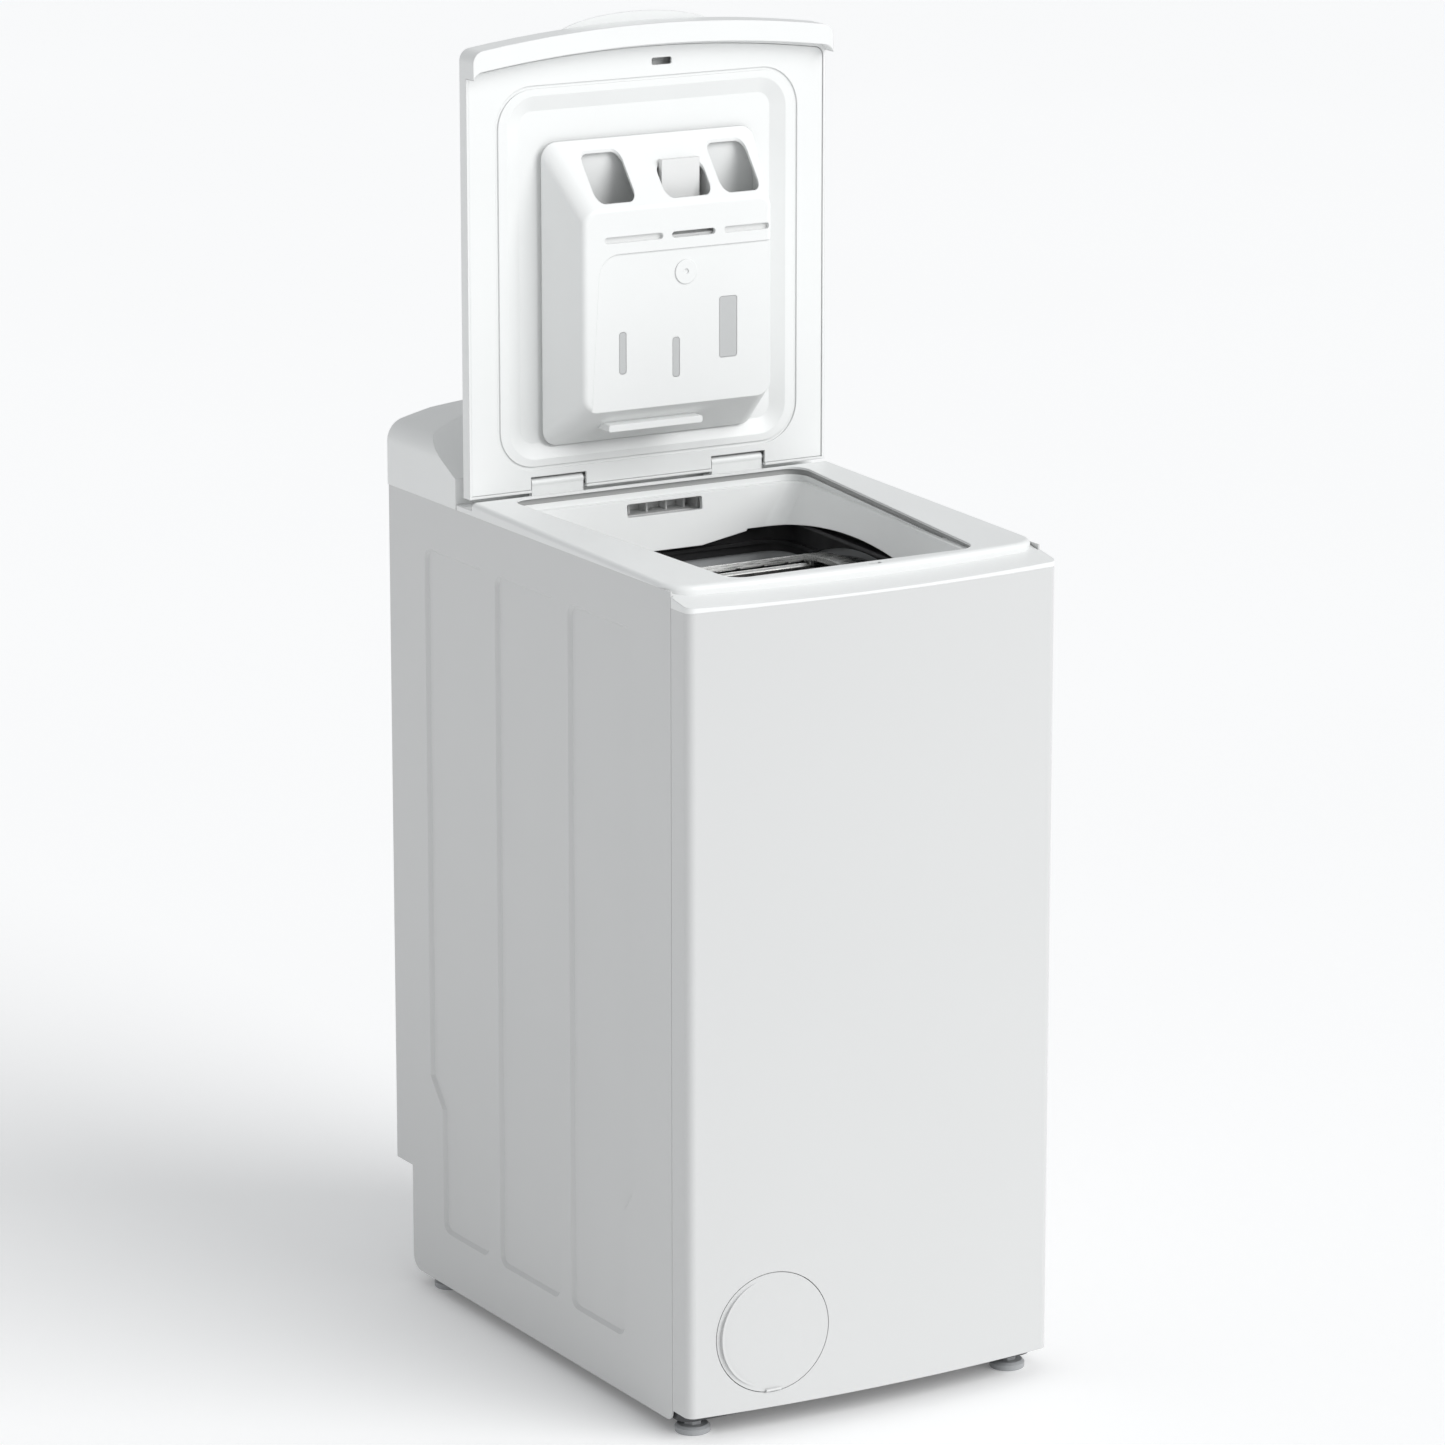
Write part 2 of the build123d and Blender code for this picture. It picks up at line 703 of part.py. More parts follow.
def loading_funnel():
    """Tapered liner from the deck down to the bellows, with the water slot."""
    with BuildPart() as cutter:
        with BuildSketch(plane_x(-HALF)):
            with Locations((ARCH_Y, ARCH_TOP - ARCH_RADIUS)):
                Circle(ARCH_RADIUS)
        extrude(amount=WIDTH)
        with BuildSketch(plane_y(200)):
            with BuildLine():
                Polyline(
                    (-108, 790),
                    (-96, 768),
                    (-45, 759.5),
                    (45, 759.5),
                    (96, 768),
                    (108, 790),
                    close=True,
                )
            make_face()
        extrude(amount=110, mode=Mode.SUBTRACT)

    with BuildPart() as funnel:
        with BuildSketch(Plane.XY.offset(FUNNEL_TOP - 2)):
            add(opening_outline(-0.5))
        with BuildSketch(Plane.XY.offset(FUNNEL_BOTTOM)):
            add(mouth_outline(0))
        loft()
        with BuildSketch(Plane.XY.offset(FUNNEL_TOP - 3)):
            add(opening_outline(DECK_WALL + 2))
        extrude(amount=3)
        with BuildSketch(Plane.XY.offset(FUNNEL_TOP + 0.5)):
            add(opening_outline(-0.5 - FUNNEL_WALL - 3))
        with BuildSketch(Plane.XY.offset(FUNNEL_BOTTOM - 2)):
            add(mouth_outline(-FUNNEL_WALL))
        loft(mode=Mode.SUBTRACT)
        add(cutter.part, mode=Mode.SUBTRACT)
        with BuildSketch(Plane.XY.offset(700)):
            with Locations((LATCH_X, LOCK_Y)):
                Rectangle(72, LOCK_DEPTH + 0.8)
        extrude(amount=200, mode=Mode.SUBTRACT)
        with BuildSketch(plane_y(150)):
            with Locations((NOZZLE_X, NOZZLE_Z)):
                RectangleRounded(NOZZLE_WIDTH, NOZZLE_HEIGHT, 2)
        extrude(amount=60, mode=Mode.SUBTRACT)
    save(funnel, "loading_funnel")


def nozzle_duct():
    """Flat duct behind the funnel's slot, divided by guide ribs, fed from below."""
    with BuildPart() as duct:
        with BuildSketch(plane_y(150)):
            with Locations((NOZZLE_X, NOZZLE_Z)):
                RectangleRounded(NOZZLE_WIDTH + 10, NOZZLE_HEIGHT + 7, 3)
        extrude(amount=26)
        with BuildSketch(plane_y(147)):
            with Locations((NOZZLE_X, NOZZLE_Z)):
                RectangleRounded(NOZZLE_WIDTH + 4, NOZZLE_HEIGHT + 2, 2)
        extrude(amount=40, mode=Mode.SUBTRACT)
        with BuildSketch(plane_y(147.5)):
            for x in (-28, -8, 14, 34):
                with Locations((NOZZLE_X + x, NOZZLE_Z)):
                    Rectangle(2, NOZZLE_HEIGHT + 3)
        extrude(amount=15)
        with BuildSketch(Plane.XY.offset(NOZZLE_Z - NOZZLE_HEIGHT / 2 - 2)):
            with Locations((NOZZLE_X, DUCT_SPIGOT_Y)):
                Circle(5)
        extrude(amount=-14)
        with BuildSketch(Plane.XY.offset(NOZZLE_Z)):
            with Locations((NOZZLE_X, DUCT_SPIGOT_Y)):
                Circle(3.5)
        extrude(amount=-40, mode=Mode.SUBTRACT)
    save(duct, "nozzle_duct")


# ---------------------------------------------------------------- console


def console_block(inset):
    """Solid of the console: sloped top, rounded rear edge and crowned shoulders."""
    with BuildPart() as block:
        with BuildSketch(plane_x(-HALF)) as side:
            with BuildLine():
                Polyline(
                    (CONSOLE_Y0 + inset, SIDE_TOP - inset),
                    (CONSOLE_Y0 + inset, CONSOLE_FRONT_Z - inset),
                    (CONSOLE_RIDGE_Y, TOTAL_HEIGHT - inset),
                    (REAR_Y - inset, CONSOLE_REAR_Z - inset),
                    (REAR_Y - inset, SIDE_TOP - inset),
                    close=True,
                )
            make_face()
            tops = side.vertices().group_by(Axis.Y)
            fillet(tops[-1], 26 - inset)
            fillet(tops[-2], 16 - inset)
            fillet(tops[-3], 7 - inset)
        extrude(amount=WIDTH)
        with BuildSketch(plane_y(REAR_Y + 5)) as face:
            with BuildLine():
                Line((-HALF + inset, SHOULDER_Z - inset), (-HALF + inset, SIDE_TOP - inset))
                Line((-HALF + inset, SIDE_TOP - inset), (HALF - inset, SIDE_TOP - inset))
                Line((HALF - inset, SIDE_TOP - inset), (HALF - inset, SHOULDER_Z - inset))
                ThreePointArc(
                    (HALF - inset, SHOULDER_Z - inset),
                    (0, TOTAL_HEIGHT - inset),
                    (-HALF + inset, SHOULDER_Z - inset),
                )
            make_face()
            fillet(face.vertices().group_by(Axis.Y)[-1], 22 - inset)
        extrude(amount=160, mode=Mode.INTERSECT)
    return block


def slope_plane(lift):
    """Plane on the console's sloped face; local +Y climbs the slope."""
    start = Vector(0, CONSOLE_Y0, CONSOLE_FRONT_Z)
    end = Vector(0, CONSOLE_RIDGE_Y, TOTAL_HEIGHT)
    along = (end - start).normalized()
    out = Vector(0, -along.Z, along.Y)
    middle = start + along * SLOPE_MIDDLE
    return Plane(origin=middle + out * lift, x_dir=(1, 0, 0), z_dir=out)


def console_housing():
    """Shell over the controls, open below, with a seat for the fascia."""
    outer = console_block(0.0)
    inner = console_block(CONSOLE_WALL)
    with BuildPart() as housing:
        add(outer.part)
        add(inner.part, mode=Mode.SUBTRACT)
        with BuildSketch(Plane.XY.offset(SIDE_TOP - CONSOLE_WALL - 1)):
            with Locations((0, (CONSOLE_Y0 + REAR_Y) / 2)):
                Rectangle(WIDTH - 2 * CONSOLE_WALL, REAR_Y - CONSOLE_Y0 - 2 * CONSOLE_WALL)
        extrude(amount=12, mode=Mode.SUBTRACT)
        with BuildSketch(slope_plane(10)):
            RectangleRounded(FASCIA_WIDTH + 0.4, FASCIA_HEIGHT + 0.4, 12.2)
        extrude(amount=-10 + FASCIA_LIFT - FASCIA_THICKNESS, mode=Mode.SUBTRACT)
        with BuildSketch(slope_plane(10)):
            RectangleRounded(FASCIA_WIDTH - 12, FASCIA_HEIGHT - 8, 8)
        extrude(amount=-24, mode=Mode.SUBTRACT)
    save(housing, "console_housing")


def control_places():
    """Local places of the buttons on the sloped fascia."""
    return [(x, -2.0) for x in BUTTON_XS]


def console_fascia():
    """Plate let into the slope, with holes for the knob, buttons and display."""
    with BuildPart() as fascia:
        with BuildSketch(slope_plane(FASCIA_LIFT)):
            RectangleRounded(FASCIA_WIDTH, FASCIA_HEIGHT, 12)
        extrude(amount=-FASCIA_THICKNESS)
        with BuildSketch(slope_plane(FASCIA_LIFT + 5)):
            with Locations((KNOB_X, 0)):
                Circle(4.3)
            for x, y in control_places():
                with Locations((x, y)):
                    Circle(BUTTON_R + 0.35)
            with Locations((DISPLAY_X, 0)):
                RectangleRounded(DISPLAY_WIDTH + 0.2, DISPLAY_HEIGHT + 0.2, 3)
        extrude(amount=-20, mode=Mode.SUBTRACT)
    save(fascia, "console_fascia")


def display_window():
    """Smoked window of the display, flush with the fascia."""
    with BuildPart() as window:
        with BuildSketch(slope_plane(FASCIA_LIFT)):
            with Locations((DISPLAY_X, 0)):
                RectangleRounded(DISPLAY_WIDTH, DISPLAY_HEIGHT, 3)
        extrude(amount=-FASCIA_THICKNESS)
    save(window, "display_window")


def programme_knob():
    """Knob with a pointer ridge, grip flutes and a stem into the control board."""
    with BuildPart() as knob:
        with BuildSketch(slope_plane(FASCIA_LIFT + 0.6)):
            with Locations((KNOB_X, 0)):
                Circle(KNOB_R)
        extrude(amount=15)
        top = knob.faces().sort_by(Axis.Z)[-1]
        fillet(top.edges(), 2.5)
        with BuildSketch(slope_plane(FASCIA_LIFT + 3)):
            with Locations((KNOB_X, 0)):
                with PolarLocations(KNOB_R + 0.6, 24):
                    Circle(1.3)
        extrude(amount=20, mode=Mode.SUBTRACT)
        with BuildSketch(slope_plane(FASCIA_LIFT + 15)):
            with Locations((KNOB_X, 11)):
                SlotOverall(16, 2.4, rotation=90)
        extrude(amount=1.6)
        with BuildSketch(slope_plane(FASCIA_LIFT + 0.6)):
            with Locations((KNOB_X, 0)):
                Circle(4)
        extrude(amount=-14)
    save(knob, "programme_knob")


def push_button(index, name):
    """Round push button with a stem and a retaining flange."""
    x, y = control_places()[index]
    with BuildPart() as button:
        with BuildSketch(slope_plane(FASCIA_LIFT - FASCIA_THICKNESS + 0.2)):
            with Locations((x, y)):
                Circle(BUTTON_R)
        extrude(amount=FASCIA_THICKNESS + 2)
        fillet(button.faces().sort_by(Axis.Z)[-1].edges(), 0.8)
        with BuildSketch(slope_plane(FASCIA_LIFT - FASCIA_THICKNESS - 0.3)):
            with Locations((x, y)):
                Circle(BUTTON_R + 1.2)
        extrude(amount=-1.5)
        with BuildSketch(slope_plane(FASCIA_LIFT - FASCIA_THICKNESS + 0.3)):
            with Locations((x, y)):
                Circle(2.2)
        extrude(amount=-4.6)
    save(button, name)


def control_board():
    """Circuit board under the fascia, with a few tall components."""
    board_lift = FASCIA_LIFT - FASCIA_THICKNESS - 8
    with BuildPart() as board:
        with BuildSketch(slope_plane(board_lift)):
            RectangleRounded(FASCIA_WIDTH - 24, 58, 3)
            with Locations((KNOB_X, 0)):
                Circle(4.3, mode=Mode.SUBTRACT)
        extrude(amount=-1.6)
        with BuildSketch(slope_plane(board_lift - 1.6)):
            for x, w, h in [(-118, 26, 30), (-78, 18, 18), (-40, 30, 14), (20, 16, 24)]:
                with Locations((x, 0)):
                    Rectangle(w, h)
        extrude(amount=-10)
    save(board, "control_board")


# ---------------------------------------------------------------- lid


def lid_outline(inset, drop=0.0):
    """Face of the lid seen from the front: straight sides, bowed front edge on top."""
    half = LID_HALF - inset
    with BuildSketch(Plane.XY, mode=Mode.PRIVATE) as face:
        with BuildLine():
            Polyline(
                (-half, LID_CORNER_Z - inset - drop),
                (-half, LID_BOTTOM + inset),
                (half, LID_BOTTOM + inset),
                (half, LID_CORNER_Z - inset - drop),
            )
            ThreePointArc(
                (half, LID_CORNER_Z - inset - drop),
                (0, LID_APEX_Z - inset - drop),
                (-half, LID_CORNER_Z - inset - drop),
            )
        make_face()
        groups = face.vertices().group_by(Axis.Y)
        fillet(groups[-1], max(12 - inset, 2))
        fillet(groups[0], max(5 - inset, 1.5))
    return face.sketch


def hinge_slots(y0, y1, grow):
    """Cutters for the two hinge arms at the lid's lower edge."""
    with BuildPart(mode=Mode.PRIVATE) as slots:
        with BuildSketch(plane_y(y1)):
            for side in (-1, 1):
                with Locations((side * (HINGE_ARM_X0 + HINGE_ARM_X1) / 2, HINGE_Z - 5)):
                    Rectangle(HINGE_ARM_X1 - HINGE_ARM_X0 + 2 * grow, 24)
        extrude(amount=y1 - y0)
    return slots.part


def grip_bulge():
    """Domed finger grip on the lid's outer face, standing a little over its edge."""
    with BuildPart(mode=Mode.PRIVATE) as bulge:
        with BuildSketch(plane_y(LID_OUTER_Y - 1)):
            with Locations((GRIP_X, GRIP_Z)):
                Ellipse(GRIP_WIDTH / 2, GRIP_RISE)
        with BuildSketch(plane_y(LID_OUTER_Y + GRIP_DEPTH)):
            with Locations((GRIP_X, GRIP_Z)):
                Ellipse(GRIP_WIDTH / 2 - 16, GRIP_RISE - 12)
        loft()
    return bulge.part


def lid_outer():
    """Outer shell of the lid with its front lip and the grip bulge."""
    lip = LID_UNDER_Y - LID_LIP_Y
    skin = LID_OUTER_Y - LID_WALL
    slots = hinge_slots(LID_UNDER_Y - 2, skin, 1)
    with BuildPart() as lid:
        with BuildSketch(plane_y(LID_OUTER_Y)):
            add(lid_outline(0))
        extrude(amount=LID_OUTER_Y - LID_UNDER_Y)
        with BuildSketch(plane_y(LID_UNDER_Y)):
            add(lid_outline(0))
            add(lid_outline(-1, LID_LIP), mode=Mode.SUBTRACT)
        extrude(amount=lip)
        back = lid.faces().sort_by(Axis.Y)[-1]
        fillet(back.edges(), 4)
        with BuildSketch(plane_y(skin)):
            add(lid_outline(LID_WALL, LID_LIP))
        extrude(amount=LID_OUTER_Y - LID_LIP_Y + 5, mode=Mode.SUBTRACT)
        add(grip_bulge())
        add(slots, mode=Mode.SUBTRACT)
    save(lid, "lid_outer")


def lid_tray(y, grow):
    """Shallow tray with sloping sides, starting at one depth."""
    with BuildPart(mode=Mode.PRIVATE) as tray:
        with BuildSketch(plane_y(y)):
            with Locations((0, TRAY_Z)):
                RectangleRounded(TRAY_WIDTH + 2 * grow, TRAY_HEIGHT + 2 * grow, 30 + grow)
        with BuildSketch(plane_y(y + TRAY_DEPTH + grow / 2)):
            with Locations((0, TRAY_Z)):
                RectangleRounded(
                    TRAY_WIDTH - 2 * TRAY_WALL + 2 * grow,
                    TRAY_HEIGHT - 2 * TRAY_WALL + 2 * grow,
                    14 + grow,
                )
        loft()
    return tray.part


def lid_inner():
    """Inner shell: face, sunk tray, dispenser window, pin bosses."""
    face_y = LID_FACE_Y
    slots = hinge_slots(LID_UNDER_Y - 30, LID_OUTER_Y, 1)
    with BuildPart() as lid:
        with BuildSketch(plane_y(face_y + 2.5)):
            add(lid_outline(LID_WALL + 0.4, LID_LIP))
        extrude(amount=2.5)
        add(lid_tray(face_y + 1, 2.5))
        add(lid_tray(face_y, 0), mode=Mode.SUBTRACT)
        with BuildSketch(plane_y(face_y + CREASE_DEPTH)):
            with Locations((0, TRAY_Z)):
                RectangleRounded(TRAY_WIDTH + 26, TRAY_HEIGHT + 20, 40)
                RectangleRounded(TRAY_WIDTH + 20, TRAY_HEIGHT + 14, 37, mode=Mode.SUBTRACT)
        extrude(amount=10, mode=Mode.SUBTRACT)
        with BuildSketch(plane_y(face_y + TRAY_DEPTH + 5)):
            with Locations((0, (DISP_BOTTOM + DISP_TOP) / 2)):
                Rectangle(2 * DISP_HALF - 32, DISP_TOP - DISP_BOTTOM - 36)
        extrude(amount=20, mode=Mode.SUBTRACT)
        with BuildSketch(plane_y(face_y + 2)):
            for x in PIN_BOSSES:
                with Locations((x, HINGE_Z)):
                    Rectangle(6, 11)
        extrude(amount=-10.3)
        with BuildSketch(plane_x(-HALF)):
            with Locations((HINGE_Y, HINGE_Z)):
                Circle(PIN_R)
        extrude(amount=WIDTH, mode=Mode.SUBTRACT)
        add(slots, mode=Mode.SUBTRACT)
        with BuildSketch(plane_y(LID_UNDER_Y)):
            with Locations((LATCH_X, LATCH_SLOT_Z)):
                RectangleRounded(22, 7, 2)
        extrude(amount=-12, mode=Mode.SUBTRACT)
    save(lid, "lid_inner")


def hinge_pins():
    """Two pins fixed in the lid's bosses."""
    with BuildPart() as pins:
        for side in (-1, 1):
            start = side * (HINGE_ARM_X0 - 9)
            with BuildSketch(plane_x(start)):
                with Locations((HINGE_Y, HINGE_Z)):
                    Circle(PIN_R)
            extrude(amount=side * (HINGE_ARM_X1 - HINGE_ARM_X0 + 18))
    save(pins, "hinge_pins")


def hinge_brackets():
    """Hinge arms on the deck, each a foot plate with a long barrel, a group of solids."""
    length = HINGE_ARM_X1 - HINGE_ARM_X0 - 2
    with BuildPart() as brackets:
        for side in (-1, 1):
            middle = side * (HINGE_ARM_X0 + HINGE_ARM_X1) / 2
            with BuildSketch(plane_x(middle - length / 2)):
                with BuildLine():
                    Polyline(
                        (HINGE_Y - 4.5, HINGE_TROUGH_Z),
                        (HINGE_Y - 4.5, HINGE_Z),
                        (HINGE_Y + 4.5, HINGE_Z),
                        (HINGE_Y + 1, HINGE_TROUGH_Z + 2.5),
                        (HINGE_Y + 12, HINGE_TROUGH_Z + 2.5),
                        (HINGE_Y + 12, HINGE_TROUGH_Z),
                        close=True,
                    )
                make_face()
                with Locations((HINGE_Y, HINGE_Z)):
                    Circle(5)
            extrude(amount=length)
        with BuildSketch(plane_x(-HALF)):
            with Locations((HINGE_Y, HINGE_Z)):
                Circle(PIN_R + RUN_GAP)
        extrude(amount=WIDTH, mode=Mode.SUBTRACT)
    save(brackets, "hinge_brackets")


def dispenser_section(y, skin):
    """Rounded outline of the dispenser at one depth, set in by its skin."""
    share = (LID_FACE_Y - y) / (LID_FACE_Y - DISP_FACE_Y)
    left = -DISP_HALF + share * DISP_LEFT_SLOPE + skin
    right = DISP_HALF - share * DISP_RIGHT_SLOPE - skin
    low = DISP_BOTTOM + share * (DISP_FACE_BOTTOM - DISP_BOTTOM) + 1.3 * skin
    high = DISP_TOP - share * (DISP_TOP - DISP_FACE_TOP) - 1.6 * skin
    with BuildSketch(Plane.XY, mode=Mode.PRIVATE) as section:
        with Locations(((left + right) / 2, (low + high) / 2)):
            RectangleRounded(right - left, high - low, DISP_RADIUS)
    return section.sketch


def dispenser_hollow():
    """Inside of the dispenser: one sloping room split by two walls."""
    front = DISP_FACE_Y + DISP_FACE_WALL
    with BuildPart(mode=Mode.PRIVATE) as hollow:
        with BuildSketch(plane_y(DISP_BACK_Y - 2)):
            add(dispenser_section(DISP_BACK_Y - 2, DISP_SKIN))
        with BuildSketch(plane_y(front)):
            add(dispenser_section(front, DISP_SKIN))
        loft()
        with BuildSketch(plane_y(DISP_BACK_Y)):
            for x in DISP_WALLS:
                with Locations((x, SLOT_Z)):
                    Rectangle(DISP_SKIN, 500)
        extrude(amount=60, mode=Mode.SUBTRACT)
    return hollow.part


def face_recess():
    """Outline of the shallow field on the dispenser's face, open to the right."""
    with BuildSketch(Plane.XY, mode=Mode.PRIVATE) as field:
        with BuildLine():
            Polyline(
                (RECESS_LOW_X, DISP_BOTTOM),
                (RECESS_HIGH_X, RECESS_TOP),
                (DISP_HALF + 20, RECESS_TOP),
                (DISP_HALF + 20, DISP_BOTTOM),
                close=True,
            )
        make_face()
        corner = field.vertices().group_by(Axis.Y)[-1].sort_by(Axis.X)[0]
        fillet(corner, 22)
    return field.sketch


def dispenser_body():
    """Tapered box with three compartments, filled through windows in its sloped top."""
    with BuildPart() as body:
        with BuildSketch(plane_y(LID_FACE_Y)):
            add(dispenser_section(LID_FACE_Y, 0))
        with BuildSketch(plane_y(DISP_FACE_Y)):
            add(dispenser_section(DISP_FACE_Y, 0))
        loft()
        face_edges = body.faces().sort_by(Axis.Y)[0].edges()
        fillet(face_edges, DISP_EDGE)
        with BuildSketch(plane_y(LID_FACE_Y + TRAY_DEPTH)):
            add(dispenser_section(LID_FACE_Y, DISP_FOOT_INSET))
        extrude(amount=TRAY_DEPTH)
        add(dispenser_hollow(), mode=Mode.SUBTRACT)
        for (x0, x1), rear, (s0, s1) in zip(COMPARTMENTS, WINDOW_REARS, SLOTS):
            with BuildSketch(Plane.XY.offset(SLOT_Z + 12)):
                with Locations(((x0 + x1) / 2, (WINDOW_FRONT + rear) / 2)):
                    RectangleRounded(x1 - x0, rear - WINDOW_FRONT, 9)
            extrude(amount=110, mode=Mode.SUBTRACT)
            with BuildSketch(plane_y(DISP_FACE_Y + 8)):
                with Locations(((s0 + s1) / 2, SLOT_Z)):
                    SlotOverall(s1 - s0, 6)
            extrude(amount=20, mode=Mode.SUBTRACT)
        with BuildSketch(plane_y(DISP_FACE_Y + RECESS_DEPTH)):
            add(face_recess())
        extrude(amount=10, mode=Mode.SUBTRACT)
        with BuildSketch(plane_y(DISP_FACE_Y + RECESS_DEPTH + 0.5)):
            with Locations(BOSS_PLACE):
                Circle(12)
        extrude(amount=RECESS_DEPTH)
        with BuildSketch(plane_y(DISP_FACE_Y + RECESS_DEPTH)):
            with Locations(BOSS_PLACE):
                Circle(2.6)
        extrude(amount=10, mode=Mode.SUBTRACT)
        with BuildSketch(plane_y(DISP_FACE_Y + RECESS_DEPTH + 0.9)):
            for x, z, width, height in LEVEL_MARKS:
                with Locations((x, z)):
                    RectangleRounded(width, height, 3)
        extrude(amount=10, mode=Mode.SUBTRACT)
        with BuildSketch(plane_y(DISP_FACE_Y + 32)):
            with Locations((TAB_X, DISP_BOTTOM + 20)):
                RectangleRounded(104, 7, 2)
        extrude(amount=26)
    save(body, "dispenser_body")


def siphon_insert():
    """Lift-out siphon cover across the middle compartment."""
    x0, x1 = COMPARTMENTS[1]
    middle = (x0 + x1) / 2
    depth = WINDOW_REARS[1] - WINDOW_FRONT
    with BuildPart() as insert:
        with BuildSketch(Plane.XY.offset(SIPHON_Z)):
            with Locations((middle, WINDOW_FRONT + depth / 2)):
                Rectangle(x1 - x0 - 1, depth - 1)
        extrude(amount=3)
        with BuildSketch(Plane.XY.offset(SIPHON_Z + 3)):
            with Locations((middle, WINDOW_REARS[1] - 4.5)):
                Rectangle(x1 - x0 - 10, 6)
        extrude(amount=70)
        with BuildSketch(Plane.XY.offset(DISP_FACE_BOTTOM + 10)):
            with Locations((middle + 8, DISP_FACE_Y + 18)):
                Circle(6)
        extrude(amount=SIPHON_Z - DISP_FACE_BOTTOM - 9)
        with BuildSketch(Plane.XY.offset(DISP_FACE_BOTTOM + 9)):
            with Locations((middle + 8, DISP_FACE_Y + 18)):
                Circle(4.4)
        extrude(amount=SIPHON_Z - DISP_FACE_BOTTOM - 15, mode=Mode.SUBTRACT)
    save(insert, "siphon_insert")


def door_lock():
    """Lock case under the deck's front bar, with a shaft for the bolt."""
    with BuildPart() as lock:
        with BuildSketch(Plane.XY.offset(LOCK_Z0)):
            with Locations((LATCH_X, LOCK_Y)):
                RectangleRounded(70, LOCK_DEPTH, 2)
        extrude(amount=LOCK_Z1 - LOCK_Z0)
        with BuildSketch(Plane.XY.offset(LOCK_Z0 + 6)):
            with Locations((LATCH_X, LOCK_Y)):
                Rectangle(12.6, 5.6)
        extrude(amount=LOCK_Z1, mode=Mode.SUBTRACT)
    save(lock, "door_lock")


def lock_bolt():
    """Bolt that rises through the deck into the closed lid's slot."""
    with BuildPart() as bolt:
        with BuildSketch(Plane.XY.offset(LOCK_Z0 + 6.3)):
            with Locations((LATCH_X, LOCK_Y)):
                Rectangle(12, 5)
        extrude(amount=DECK_FRONT_Z - 2.3 - LOCK_Z0 - 6.3)
        fillet(bolt.edges().group_by(Axis.Z)[-1], 0.8)
    save(bolt, "lock_bolt")


# ---------------------------------------------------------------- tub and bellows


def neck_outline(inset):
    """Rounded rectangle of the tub's neck, under the loading funnel."""
    depth = NECK_REAR_Y - NECK_FRONT_Y
    with BuildSketch(Plane.XY, mode=Mode.PRIVATE) as neck:
        with Locations((0, (NECK_REAR_Y + NECK_FRONT_Y) / 2)):
            RectangleRounded(
                2 * (NECK_HALF - inset), depth - 2 * inset, max(NECK_RADIUS - inset, 4)
            )
    return neck.sketch


def disc(x, radius, amount, mode=Mode.ADD, centre=(DRUM_Y, DRUM_Z)):
    """Cylinder along X added to, or cut from, the part being built."""
    with BuildSketch(plane_x(x), mode=Mode.PRIVATE) as face:
        with Locations(centre):
            Circle(radius)
    extrude(face.sketch, amount=amount, mode=mode)


